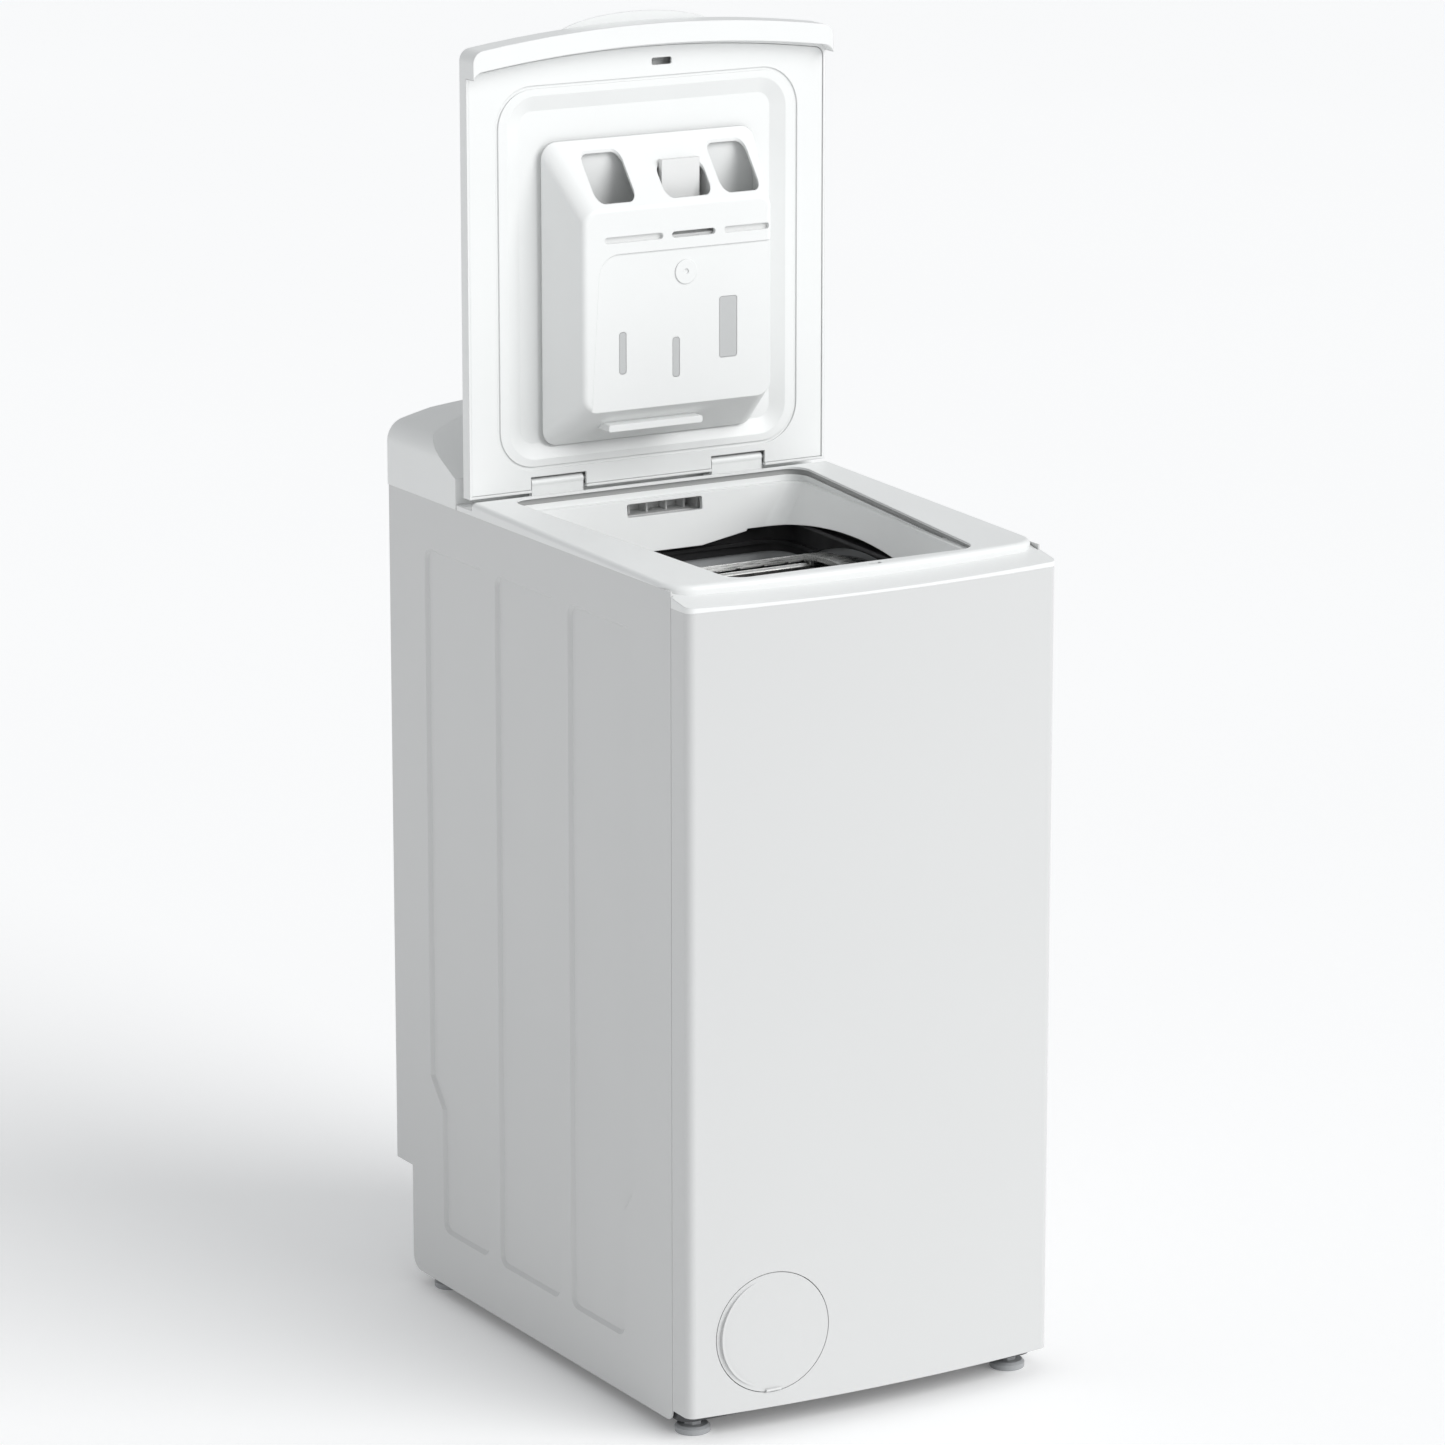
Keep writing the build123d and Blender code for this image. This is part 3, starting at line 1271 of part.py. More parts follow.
def tub_half(side, name):
    """Half of the tub: shell, neck, seam flange, ribs, hub, sump and lugs."""
    with BuildPart() as tub:
        disc(-TUB_HALF, TUB_OUTER_R, 2 * TUB_HALF)
        disc(-6, TUB_OUTER_R + 9, 12)
        for x in (-124, -62, 59, 121):
            disc(x, TUB_OUTER_R + 4, 3)
        with BuildSketch(plane_x(-TUB_HALF - 5)):
            with Locations((DRUM_Y, DRUM_Z)):
                with PolarLocations(0, 12):
                    with Locations((130, 0)):
                        Rectangle(200, 3)
        extrude(amount=2 * TUB_HALF + 10)
        disc(-HUB_HALF, 34, 2 * HUB_HALF)
        with BuildSketch(Plane.XY.offset(DRUM_Z + 30)):
            add(neck_outline(0))
        extrude(amount=NECK_TOP - DRUM_Z - 30)
        with BuildSketch(Plane.XY.offset(SUMP_BOTTOM)):
            with Locations((0, (SUMP_Y0 + SUMP_Y1) / 2)):
                RectangleRounded(2 * SUMP_HALF, SUMP_Y1 - SUMP_Y0, 12)
        extrude(amount=60)
        with BuildSketch(Plane.XY.offset(SUMP_BOTTOM)):
            with Locations((OUTLET_X, OUTLET_Y)):
                Circle(HOSE_BORE)
        extrude(amount=-20)
        for x, y in [(-20, MOTOR_Y), (110, MOTOR_Y)]:
            with BuildSketch(Plane.XY.offset(MOTOR_Z + MOTOR_R + 2)):
                with Locations((x, y)):
                    Rectangle(12, 40)
            extrude(amount=90)
        with BuildSketch(Plane.XY.offset(DAMPER_HIGH)):
            with Locations((-DAMPER_X, DAMPER_Y), (DAMPER_X, DAMPER_Y)):
                Circle(9)
        extrude(amount=24)
        with BuildSketch(Plane.XY.offset(SPRING_LOW - 9)):
            with Locations((0, SPRING_YS[0]), (0, SPRING_YS[1])):
                Rectangle(2 * SPRING_X + 12, 15)
        extrude(amount=6)
        with BuildSketch(Plane.XY.offset(SPRING_LOW - 12)):
            for y in SPRING_YS:
                with Locations((-SPRING_X, y), (SPRING_X, y)):
                    Circle(2)
        extrude(amount=12, mode=Mode.SUBTRACT)
        with BuildSketch(Plane.XY.offset(NECK_TOP - RIM_HEIGHT - 0.4)):
            Rectangle(500, 600)
            add(neck_outline(0), mode=Mode.SUBTRACT)
        extrude(amount=100, mode=Mode.SUBTRACT)
        disc(-TUB_INNER_HALF, TUB_INNER_R, 2 * TUB_INNER_HALF, Mode.SUBTRACT)
        with BuildSketch(Plane.XY.offset(DRUM_Z + 25)):
            add(neck_outline(NECK_WALL))
        extrude(amount=NECK_TOP, mode=Mode.SUBTRACT)
        with BuildSketch(Plane.XY.offset(SUMP_BOTTOM + 4)):
            with Locations((0, (SUMP_Y0 + SUMP_Y1) / 2)):
                RectangleRounded(2 * SUMP_HALF - 8, SUMP_Y1 - SUMP_Y0 - 8, 8)
        extrude(amount=60, mode=Mode.SUBTRACT)
        with BuildSketch(Plane.XY.offset(SUMP_BOTTOM - 30)):
            with Locations((OUTLET_X, OUTLET_Y)):
                Circle(HOSE_BORE - 2.5)
        extrude(amount=50, mode=Mode.SUBTRACT)
        disc(SUMP_HALF - 12, HEATER_PLUG_R + 0.1, 16, Mode.SUBTRACT, (OUTLET_Y, HEATER_Z))
        disc(-TUB_INNER_HALF - 4, 20, 2 * TUB_INNER_HALF + 8, Mode.SUBTRACT)
        for end in (-1, 1):
            disc(end * (TUB_INNER_HALF + 4), BEARING_R, end * 30, Mode.SUBTRACT)
        keep = Keep.TOP if side > 0 else Keep.BOTTOM
        split(bisect_by=plane_x(side * SEAM_GAP), keep=keep)
    save(tub, name)


def bellows():
    """Rubber bellows: rim over the neck, skirt inside it, web to the funnel."""
    with BuildPart() as rubber:
        with BuildSketch(Plane.XY.offset(BELLOWS_BOTTOM)):
            add(neck_outline(NECK_WALL + 0.3))
        extrude(amount=NECK_TOP - BELLOWS_BOTTOM)
        with BuildSketch(Plane.XY.offset(NECK_TOP)):
            add(neck_outline(-BELLOWS_RIM))
        extrude(amount=4)
        with BuildSketch(Plane.XY.offset(NECK_TOP - RIM_HEIGHT)):
            add(neck_outline(-BELLOWS_RIM))
            add(neck_outline(-0.2), mode=Mode.SUBTRACT)
        extrude(amount=RIM_HEIGHT)
        with BuildSketch(Plane.XY.offset(BELLOWS_WEB)):
            add(neck_outline(NECK_WALL + 3.8))
        extrude(amount=30, mode=Mode.SUBTRACT)
        with BuildSketch(Plane.XY.offset(BELLOWS_BOTTOM - 1)):
            add(neck_outline(NECK_WALL + 3.8))
        extrude(amount=BELLOWS_WEB - BELLOWS_BOTTOM - 2, mode=Mode.SUBTRACT)
        with BuildSketch(Plane.XY.offset(BELLOWS_BOTTOM + 8)):
            add(neck_outline(NECK_WALL + 1))
            add(neck_outline(NECK_WALL + 7), mode=Mode.SUBTRACT)
        extrude(amount=4)
        with BuildSketch(Plane.XY.offset(FUNNEL_TOP - 2)):
            add(opening_outline(-0.5))
        with BuildSketch(Plane.XY.offset(FUNNEL_BOTTOM)):
            add(mouth_outline(0))
        loft(mode=Mode.SUBTRACT)
        disc(-200, FRAME_R + 2, 400, Mode.SUBTRACT)
    save(rubber, "bellows")


# ---------------------------------------------------------------- drum


def polar(radius, angle):
    """Point on plane_x at an angle from +Z towards +Y, about the drum's axis."""
    return Vector(DRUM_Y, DRUM_Z) + Vector(0, radius).rotate(Axis.Z, -angle)


def sector(r0, r1, a0, a1, x0, x1, mode=Mode.ADD):
    """Annular sector about the drum's axis, its angles counted from the hatch's middle."""
    a0, a1 = a0 + HATCH_TURN, a1 + HATCH_TURN
    middle = (a0 + a1) / 2
    with BuildSketch(plane_x(x0), mode=Mode.PRIVATE) as face:
        with BuildLine():
            ThreePointArc(polar(r1, a0), polar(r1, middle), polar(r1, a1))
            Line(polar(r1, a1), polar(r0, a1))
            ThreePointArc(polar(r0, a1), polar(r0, middle), polar(r0, a0))
            Line(polar(r0, a0), polar(r1, a0))
        make_face()
    extrude(face.sketch, amount=x1 - x0, mode=mode)


def drum_shell():
    """Rolled steel drum wall with the hatch opening and three rolled beads."""
    with BuildPart() as shell:
        disc(-DRUM_HALF, DRUM_R, 2 * DRUM_HALF)
        disc(-DRUM_HALF - 1, DRUM_R - DRUM_SHEET, 2 * DRUM_HALF + 2, Mode.SUBTRACT)
        sector(150, 300, -22, 22, -110, 110, Mode.SUBTRACT)
    save(shell, "drum_shell")


def drum_ends():
    """Two pressed end discs with an annular bead and a shaft hole, a group of solids."""
    with BuildPart() as ends:
        for side in (-1, 1):
            disc(side * (DRUM_HALF - 2), DRUM_R - DRUM_SHEET - 0.1, side * DRUM_SHEET)
            disc(side * (DRUM_HALF - 8), 172, side * 6)
            disc(side * (DRUM_HALF - 8 + DRUM_SHEET), 172 - DRUM_SHEET, side * 20, Mode.SUBTRACT)
            disc(side * (DRUM_HALF - 8), 90, side * 6.8)
            disc(side * (DRUM_HALF - 9), 88, side * 7, Mode.SUBTRACT)
        disc(-DRUM_HALF - 20, SHAFT_R + 0.1, 2 * DRUM_HALF + 40, Mode.SUBTRACT)
    save(ends, "drum_ends")


def drum_shafts():
    """Two stub shafts with flanges, the right one ending in a nut, a group of solids."""
    with BuildPart() as shafts:
        for side in (-1, 1):
            disc(side * (DRUM_HALF - 0.4), 60, side * 4)
        disc(-DRUM_HALF, SHAFT_R, -28)
        disc(DRUM_HALF, SHAFT_R, PULLEY_X1 - DRUM_HALF)
        with BuildSketch(plane_x(PULLEY_X1)):
            with Locations((DRUM_Y, DRUM_Z)):
                RegularPolygon(15, 6)
        extrude(amount=3)
    save(shafts, "drum_shafts")


def lifters():
    """Three hollow plastic paddles on the drum's wall, a group of solids."""
    base = DRUM_R - DRUM_SHEET - 2.5
    with BuildPart() as paddles:
        for angle in (80, 170, 260):
            with BuildSketch(plane_x(-128)):
                with BuildLine():
                    Polyline(
                        polar(base, angle - 8),
                        polar(base - 42, angle - 1.6),
                        polar(base - 42, angle + 1.6),
                        polar(base, angle + 8),
                        close=True,
                    )
                make_face()
            extrude(amount=256)
        fillet(paddles.faces().filter_by(Axis.X).edges(), 2)
    save(paddles, "lifters")


def flap_centre(angle):
    """Centre of one flap's hinge pin on plane_x."""
    point = polar(FLAP_PIN_RADIUS, angle + HATCH_TURN)
    return (point.X, point.Y)


def hatch_frame():
    """Raised steel frame round the hatch with lugs for the flap pins."""
    with BuildPart() as frame:
        sector(DRUM_R, FRAME_R, -25.5, 25.5, -124, 124)
        sector(DRUM_R - 5, FRAME_R + 5, -HATCH_HALF_ANGLE, HATCH_HALF_ANGLE, -HATCH_HALF,
               HATCH_HALF, Mode.SUBTRACT)
        for x in (-108.4, 104.6):
            for a in (-FLAP_PIN_ANGLE, FLAP_PIN_ANGLE):
                sector(FLAP_PIN_RADIUS - 4.5, DRUM_R + 1, a - 1.6, a + 1.6, x, x + 3.8)
        for a in (-FLAP_PIN_ANGLE, FLAP_PIN_ANGLE):
            centre = flap_centre(a)
            disc(-120, FLAP_PIN_R + RUN_GAP, 240, Mode.SUBTRACT, centre)
    save(frame, "hatch_frame")


def flap_axis(angle):
    """Axis of one flap's hinge pin."""
    point = polar(FLAP_PIN_RADIUS, angle + HATCH_TURN)
    return Axis((0, point.X, point.Y), (1, 0, 0))


def hatch_flap(side, name):
    """Curved steel flap with hinge barrel and pin ends, shown swung into the drum."""
    edge = side * (HATCH_HALF_ANGLE - 0.5)
    pin = side * FLAP_PIN_ANGLE
    with BuildPart() as closed:
        sector(FLAP_R - FLAP_SHEET, FLAP_R, side * 0.25, edge, -103, 103)
        sector(FLAP_PIN_RADIUS, FLAP_R - 1, pin - side * 0.6, edge, -103, 103)
        sector(FLAP_R - 7, FLAP_R - 1, side * 0.25, side * 0.7, -96, 96)
        centre = flap_centre(pin)
        disc(-103, 3.2, 206, Mode.ADD, centre)
        disc(-109, FLAP_PIN_R, 218, Mode.ADD, centre)
    with BuildPart() as flap:
        add(closed.part.rotate(flap_axis(pin), side * FLAP_OPEN))
    save(flap, name)


def hatch_catch():
    """Sliding catch button on the front flap's free edge."""
    with BuildPart() as closed:
        sector(FLAP_R + 0.3, FLAP_R + 2.8, -4.5, -1.5, -16, 16)
        sector(FLAP_R + 2, FLAP_R + 4.0, -4.2, -3.6, -12, 12)
    with BuildPart() as catch:
        add(closed.part.rotate(flap_axis(-FLAP_PIN_ANGLE), -FLAP_OPEN))
    save(catch, "hatch_catch")


def bearings():
    """Two ball bearings with recessed shields in the tub's hubs, a group of solids."""
    with BuildPart() as rings:
        for side in (-1, 1):
            start = side * (TUB_INNER_HALF + 4.2)
            disc(start, BEARING_R, side * 12)
            for x in (start, start + side * 11.2):
                disc(x, 22, side * 0.8, Mode.SUBTRACT)
                disc(x, 17, side * 0.8)
        disc(-HUB_HALF, SHAFT_R + RUN_GAP, 2 * HUB_HALF, Mode.SUBTRACT)
    save(rings, "bearings")


# ---------------------------------------------------------------- drive


def drum_pulley():
    """Spoked pulley on the right stub shaft."""
    with BuildPart() as pulley:
        disc(PULLEY_X0, PULLEY_R, PULLEY_X1 - PULLEY_X0)
        disc(PULLEY_X0 - 1, PULLEY_R - 8, 20, Mode.SUBTRACT)
        disc(PULLEY_X0 - 2, 24, PULLEY_X1 - PULLEY_X0 + 2)
        with BuildSketch(plane_x(PULLEY_X0 + 4)):
            with Locations((DRUM_Y, DRUM_Z)):
                with PolarLocations(0, 6):
                    with Locations((77, 0)):
                        Rectangle(118, 16)
        extrude(amount=4)
        for x in (PULLEY_X0 + 2.4, PULLEY_X0 + 5.4, PULLEY_X0 + 8.4):
            with BuildSketch(plane_x(x)):
                with Locations((DRUM_Y, DRUM_Z)):
                    Circle(PULLEY_R + 1)
                    Circle(PULLEY_R - 1.2, mode=Mode.SUBTRACT)
            extrude(amount=1.2, mode=Mode.SUBTRACT)
        disc(PULLEY_X0 - 10, SHAFT_R, 40, Mode.SUBTRACT)
    save(pulley, "drum_pulley")


def belt_loop(gap):
    """Outline of a loop round both pulleys at a gap from them."""
    with BuildSketch(Plane.XY, mode=Mode.PRIVATE) as loop:
        with Locations((DRUM_Y, DRUM_Z)):
            Circle(PULLEY_R + gap)
        with Locations((MOTOR_Y, MOTOR_Z)):
            Circle(MOTOR_PULLEY_R + gap)
        make_hull()
    return loop.sketch


def drive_belt():
    """Ribbed belt from the motor pulley to the drum pulley."""
    with BuildPart() as belt:
        with BuildSketch(plane_x(PULLEY_X0 + 1)):
            add(belt_loop(BELT_GAP + BELT_THICKNESS))
            add(belt_loop(BELT_GAP), mode=Mode.SUBTRACT)
        extrude(amount=PULLEY_X1 - PULLEY_X0 - 2)
    save(belt, "drive_belt")


MOTOR_CENTRE = (MOTOR_Y, MOTOR_Z)


def motor_housing():
    """Motor shell with cooling slots, end plates and the saddle under the tub."""
    with BuildPart() as motor:
        disc(-30, MOTOR_R, 150, Mode.ADD, MOTOR_CENTRE)
        disc(-26, MOTOR_R - 4, 142, Mode.SUBTRACT, MOTOR_CENTRE)
        with BuildSketch(Plane.XY.offset(MOTOR_Z + MOTOR_R - 8)):
            with Locations((45, MOTOR_Y)):
                Rectangle(150, 50)
                Rectangle(142, 42, mode=Mode.SUBTRACT)
        extrude(amount=10)
        with BuildSketch(Plane.XY.offset(MOTOR_Z + MOTOR_R - 1)):
            with Locations((45, MOTOR_Y)):
                Rectangle(150, 50)
        extrude(amount=3)
        with BuildSketch(plane_y(MOTOR_Y - 100)):
            with Locations((45, MOTOR_Z)):
                with GridLocations(12, 0, 9, 1):
                    SlotOverall(46, 5, rotation=90)
        extrude(amount=-200, mode=Mode.SUBTRACT)
        disc(-40, 7 + RUN_GAP, 180, Mode.SUBTRACT, MOTOR_CENTRE)
    save(motor, "motor_housing")


def motor_rotor():
    """Rotor on its shaft, with the small ribbed pulley at the end."""
    with BuildPart() as rotor:
        disc(-12, 44, 110, Mode.ADD, MOTOR_CENTRE)
        disc(-34, 7, 226, Mode.ADD, MOTOR_CENTRE)
        disc(PULLEY_X0 - 2, MOTOR_PULLEY_R, PULLEY_X1 - PULLEY_X0 + 2, Mode.ADD, MOTOR_CENTRE)
        disc(PULLEY_X0 - 3.5, MOTOR_PULLEY_R + 3, 2.5, Mode.ADD, MOTOR_CENTRE)
    save(rotor, "motor_rotor")


# ---------------------------------------------------------------- suspension


def counterweights():
    """Two concrete blocks cast to the tub's round, a group of solids."""
    with BuildPart() as blocks:
        for (y0, z0), (y1, z1) in WEIGHT_CORNERS:
            with BuildSketch(plane_x(-WEIGHT_HALF)):
                with Locations(((y0 + y1) / 2, (z0 + z1) / 2)):
                    RectangleRounded(y1 - y0, z1 - z0, 8)
                with Locations((DRUM_Y, DRUM_Z)):
                    Circle(WEIGHT_R, mode=Mode.SUBTRACT)
            extrude(amount=2 * WEIGHT_HALF)
    save(blocks, "counterweights")


def coil_spring():
    """One coil spring about +Z with a straight hook at each end."""
    height = SPRING_TURNS * SPRING_PITCH
    with BuildPart() as spring:
        with BuildLine() as path:
            Helix(SPRING_PITCH, height, SPRING_COIL_R)
        with BuildSketch(Plane(origin=path.line @ 0, z_dir=path.line % 0)):
            Circle(SPRING_WIRE_R)
        sweep(is_frenet=True)
        for z, rise in [(0, -HOOK_LENGTH), (height, HOOK_LENGTH)]:
            with Locations((SPRING_COIL_R, 0, z), (0, 0, z)):
                Sphere(SPRING_WIRE_R + 0.05)
            with BuildSketch(plane_x(0)):
                with Locations((0, z)):
                    Circle(SPRING_WIRE_R)
            extrude(amount=SPRING_COIL_R)
            with BuildSketch(Plane.XY.offset(z)):
                Circle(SPRING_WIRE_R)
            extrude(amount=rise)
    return spring.part


def suspension_springs():
    """Four springs between the cabinet's brackets and the tub's lugs, a group of solids."""
    coil = coil_spring()
    with BuildPart() as springs:
        for x in (-SPRING_X, SPRING_X):
            for y in SPRING_YS:
                add(coil.moved(Location((x, y, SPRING_LOW + 12))))
    save(springs, "suspension_springs")


def spring_brackets():
    """Four brackets on the side panels that carry the springs."""
    with BuildPart() as brackets:
        for side in (-1, 1):
            for y in SPRING_YS:
                x = side * (SPRING_X - 10)
                with BuildSketch(plane_x(x)):
                    with Locations((y, SPRING_HIGH + 2)):
                        Rectangle(26, 4)
                extrude(amount=side * (BRACKET_X - SPRING_X + 10))
                with BuildSketch(plane_x(side * (BRACKET_X - 2))):
                    with Locations((y, SPRING_HIGH + 18)):
                        Rectangle(26, 36)
                extrude(amount=side * 2)
                with BuildSketch(Plane.XY.offset(SPRING_HIGH - 2)):
                    with Locations((side * SPRING_X, y)):
                        Circle(1.85)
                extrude(amount=8, mode=Mode.SUBTRACT)
    save(brackets, "spring_brackets")


def dampers():
    """Two friction dampers, tube and rod, between base and tub, a group of solids."""
    with BuildPart() as pair:
        for x in (-DAMPER_X, DAMPER_X):
            with BuildSketch(Plane.XY.offset(DAMPER_LOW)):
                with Locations((x, DAMPER_Y)):
                    Circle(13)
            extrude(amount=150)
            with BuildSketch(Plane.XY.offset(DAMPER_LOW + 142)):
                with Locations((x, DAMPER_Y)):
                    Circle(14.5)
            extrude(amount=10)
            with BuildSketch(Plane.XY.offset(DAMPER_LOW + 150)):
                with Locations((x, DAMPER_Y)):
                    Circle(5)
            extrude(amount=DAMPER_HIGH - DAMPER_LOW - 150)
    save(pair, "dampers")


# ---------------------------------------------------------------- water side


def heater():
    """U-shaped tubular heater through the sump's end wall, with its flange."""
    y0, y1 = OUTLET_Y - HEATER_BEND, OUTLET_Y + HEATER_BEND
    start, end = SUMP_HALF + 12, -30
    with BuildPart() as element:
        with BuildLine() as path:
            Line((start, y0, HEATER_Z), (end, y0, HEATER_Z))
            ThreePointArc(
                (end, y0, HEATER_Z), (end - HEATER_BEND, OUTLET_Y, HEATER_Z), (end, y1, HEATER_Z)
            )
            Line((end, y1, HEATER_Z), (start, y1, HEATER_Z))
        with BuildSketch(Plane(origin=path.line @ 0, z_dir=path.line % 0)):
            Circle(HEATER_ROD_R)
        sweep()
        disc(SUMP_HALF, HEATER_PLUG_R + 2.4, 4, Mode.ADD, (OUTLET_Y, HEATER_Z))
        disc(SUMP_HALF - 6, HEATER_PLUG_R, 8, Mode.ADD, (OUTLET_Y, HEATER_Z))
    save(element, "heater")


def tube_along(points, radius, outer, bore):
    """Hose along straight runs joined by tangent arcs."""
    with BuildPart() as hose:
        with BuildLine() as path:
            FilletPolyline(*points, radius=radius)
        with BuildSketch(Plane(origin=path.line @ 0, z_dir=path.line % 0)):
            Circle(outer)
            Circle(bore, mode=Mode.SUBTRACT)
        sweep()
    return hose.part


def drain_hoses():
    """Rubber hoses from sump to filter and from pump to the rear port, a group of solids."""
    with BuildPart() as hoses:
        add(tube_along(SUMP_RUN, 30, HOSE_R, HOSE_BORE))
        add(tube_along(DRAIN_RUN, 18, DRAIN_R, DRAIN_BORE))
    save(hoses, "drain_hoses")


def inlet_hose():
    """Water hose from the inlet valve up to the nozzle duct."""
    with BuildPart() as hose:
        add(tube_along(INLET_RUN, 14, 7, 5))
    save(hose, "inlet_hose")


def filter_housing():
    """Filter barrel behind the round cover, with an inlet on top."""
    with BuildPart() as housing:
        with BuildSketch(plane_y(FILTER_REAR_Y)):
            with Locations((FILTER_X, FILTER_Z)):
                Circle(FILTER_R)
        extrude(amount=129)
        with BuildSketch(plane_y(-274)):
            with Locations((FILTER_X, FILTER_Z)):
                Circle(FILTER_R + 8)
        extrude(amount=4)
        with BuildSketch(Plane.XY.offset(FILTER_Z)):
            with Locations((FILTER_X, FILTER_INLET_Y)):
                Circle(HOSE_BORE)
        extrude(amount=FILTER_R + 22)
        with BuildSketch(plane_y(FILTER_REAR_Y - 4)):
            with Locations((FILTER_X, FILTER_Z)):
                Circle(FILTER_R - 3.5)
        extrude(amount=160, mode=Mode.SUBTRACT)
        with BuildSketch(Plane.XY.offset(FILTER_Z)):
            with Locations((FILTER_X, FILTER_INLET_Y)):
                Circle(HOSE_BORE - 2.5)
        extrude(amount=FILTER_R + 30, mode=Mode.SUBTRACT)
        with BuildSketch(plane_y(FILTER_REAR_Y + 5)):
            with Locations((FILTER_X, FILTER_Z)):
                Circle(15)
        extrude(amount=20, mode=Mode.SUBTRACT)
    save(housing, "filter_housing")


def filter_plug():
    """Screw-in plug with a grip bar and a slotted lint basket."""
    with BuildPart() as plug:
        with BuildSketch(plane_y(-236)):
            with Locations((FILTER_X, FILTER_Z)):
                Circle(FILTER_R - 3.9)
        extrude(amount=43)
        with BuildSketch(plane_y(-278.3)):
            with Locations((FILTER_X, FILTER_Z)):
                Circle(FILTER_R + 2)
        extrude(amount=3.2)
        with BuildSketch(plane_y(-268)):
            with Locations((FILTER_X, FILTER_Z)):
                Circle(26)
                Rectangle(60, 7, mode=Mode.SUBTRACT)
        extrude(amount=20, mode=Mode.SUBTRACT)
        with BuildSketch(plane_y(-200)):
            with Locations((FILTER_X, FILTER_Z)):
                Circle(22)
                Circle(19.5, mode=Mode.SUBTRACT)
        extrude(amount=40)
        with BuildSketch(Plane.XY.offset(FILTER_Z - 40)):
            with Locations((FILTER_X, -217)):
                with GridLocations(9, 0, 4, 1):
                    Rectangle(3.5, 26)
        extrude(amount=80, mode=Mode.SUBTRACT)
    save(plug, "filter_plug")


def drain_pump():
    """Pump volute behind the filter with its motor and outlet."""
    with BuildPart() as pump:
        with BuildSketch(plane_y(PUMP_FRONT_Y + 30)):
            with Locations((FILTER_X, FILTER_Z)):
                Circle(32)
        extrude(amount=30)
        with BuildSketch(plane_y(PUMP_REAR_Y)):
            with Locations((FILTER_X, FILTER_Z)):
                RectangleRounded(44, 44, 8)
        extrude(amount=PUMP_REAR_Y - PUMP_FRONT_Y - 25)
        with BuildSketch(plane_x(FILTER_X)):
            with Locations((PUMP_OUT_Y, FILTER_Z)):
                Circle(DRAIN_BORE)
        extrude(amount=-42)
        with BuildSketch(plane_y(PUMP_FRONT_Y + 27)):
            with Locations((FILTER_X, FILTER_Z)):
                Circle(28.5)
        extrude(amount=60, mode=Mode.SUBTRACT)
        with BuildSketch(plane_x(FILTER_X - 10)):
            with Locations((PUMP_OUT_Y, FILTER_Z)):
                Circle(DRAIN_BORE - 2)
        extrude(amount=-90, mode=Mode.SUBTRACT)
        with BuildSketch(plane_y(PUMP_REAR_Y - 10)):
            with Locations((FILTER_X, FILTER_Z)):
                Circle(3 + RUN_GAP)
        extrude(amount=90, mode=Mode.SUBTRACT)
    save(pump, "drain_pump")


def pump_impeller():
    """Six-vane impeller on its shaft inside the volute."""
    with BuildPart() as impeller:
        with BuildSketch(plane_y(PUMP_FRONT_Y + 24)):
            with Locations((FILTER_X, FILTER_Z)):
                Circle(24)
        extrude(amount=2)
        with BuildSketch(plane_y(PUMP_FRONT_Y + 23)):
            with Locations((FILTER_X, FILTER_Z)):
                with PolarLocations(0, 6):
                    with Locations((12, 0)):
                        Rectangle(22, 2.5)
        extrude(amount=17)
        with BuildSketch(plane_y(PUMP_FRONT_Y + 52)):
            with Locations((FILTER_X, FILTER_Z)):
                Circle(3)
        extrude(amount=46)
    save(impeller, "pump_impeller")


def drain_port():
    """Drain connector through the rear panel."""
    with BuildPart() as port:
        with BuildSketch(plane_y(292)):
            with Locations((DRAIN_PORT_X, REAR_PORT_Z)):
                Circle(SPIGOT_R)
        extrude(amount=30)
        with BuildSketch(plane_y(264)):
            with Locations((DRAIN_PORT_X, REAR_PORT_Z)):
                Circle(18)
        extrude(amount=2)
        with BuildSketch(plane_y(262)):
            with Locations((DRAIN_PORT_X, REAR_PORT_Z)):
                Circle(DRAIN_BORE)
        extrude(amount=20)
        with BuildSketch(plane_y(300)):
            with Locations((DRAIN_PORT_X, REAR_PORT_Z)):
                Circle(DRAIN_BORE - 2)
        extrude(amount=80, mode=Mode.SUBTRACT)
    save(port, "drain_port")


def inlet_valve():
    """Water inlet valve with a threaded stub through the rear panel."""
    with BuildPart() as valve:
        with BuildSketch(plane_y(284)):
            with Locations((INLET_X, REAR_PORT_Z)):
                Circle(INLET_THREAD_R)
        extrude(amount=20)
        with BuildSketch(plane_y(264)):
            with Locations((INLET_X, REAR_PORT_Z)):
                Circle(INLET_NECK_R)
        extrude(amount=10)
        with BuildSketch(plane_y(258)):
            with Locations((INLET_X, REAR_PORT_Z)):
                RectangleRounded(38, 38, 5)
        extrude(amount=26)
        with BuildSketch(Plane.XY.offset(REAR_PORT_Z)):
            with Locations((INLET_X, 244)):
                Circle(4)
        extrude(amount=36)
        with BuildSketch(plane_y(240)):
            with Locations((INLET_X, REAR_PORT_Z)):
                Circle(13)
        extrude(amount=32)
        with BuildSketch(plane_y(290)):
            with Locations((INLET_X, REAR_PORT_Z)):
                Circle(8)
        extrude(amount=20, mode=Mode.SUBTRACT)
    save(valve, "inlet_valve")


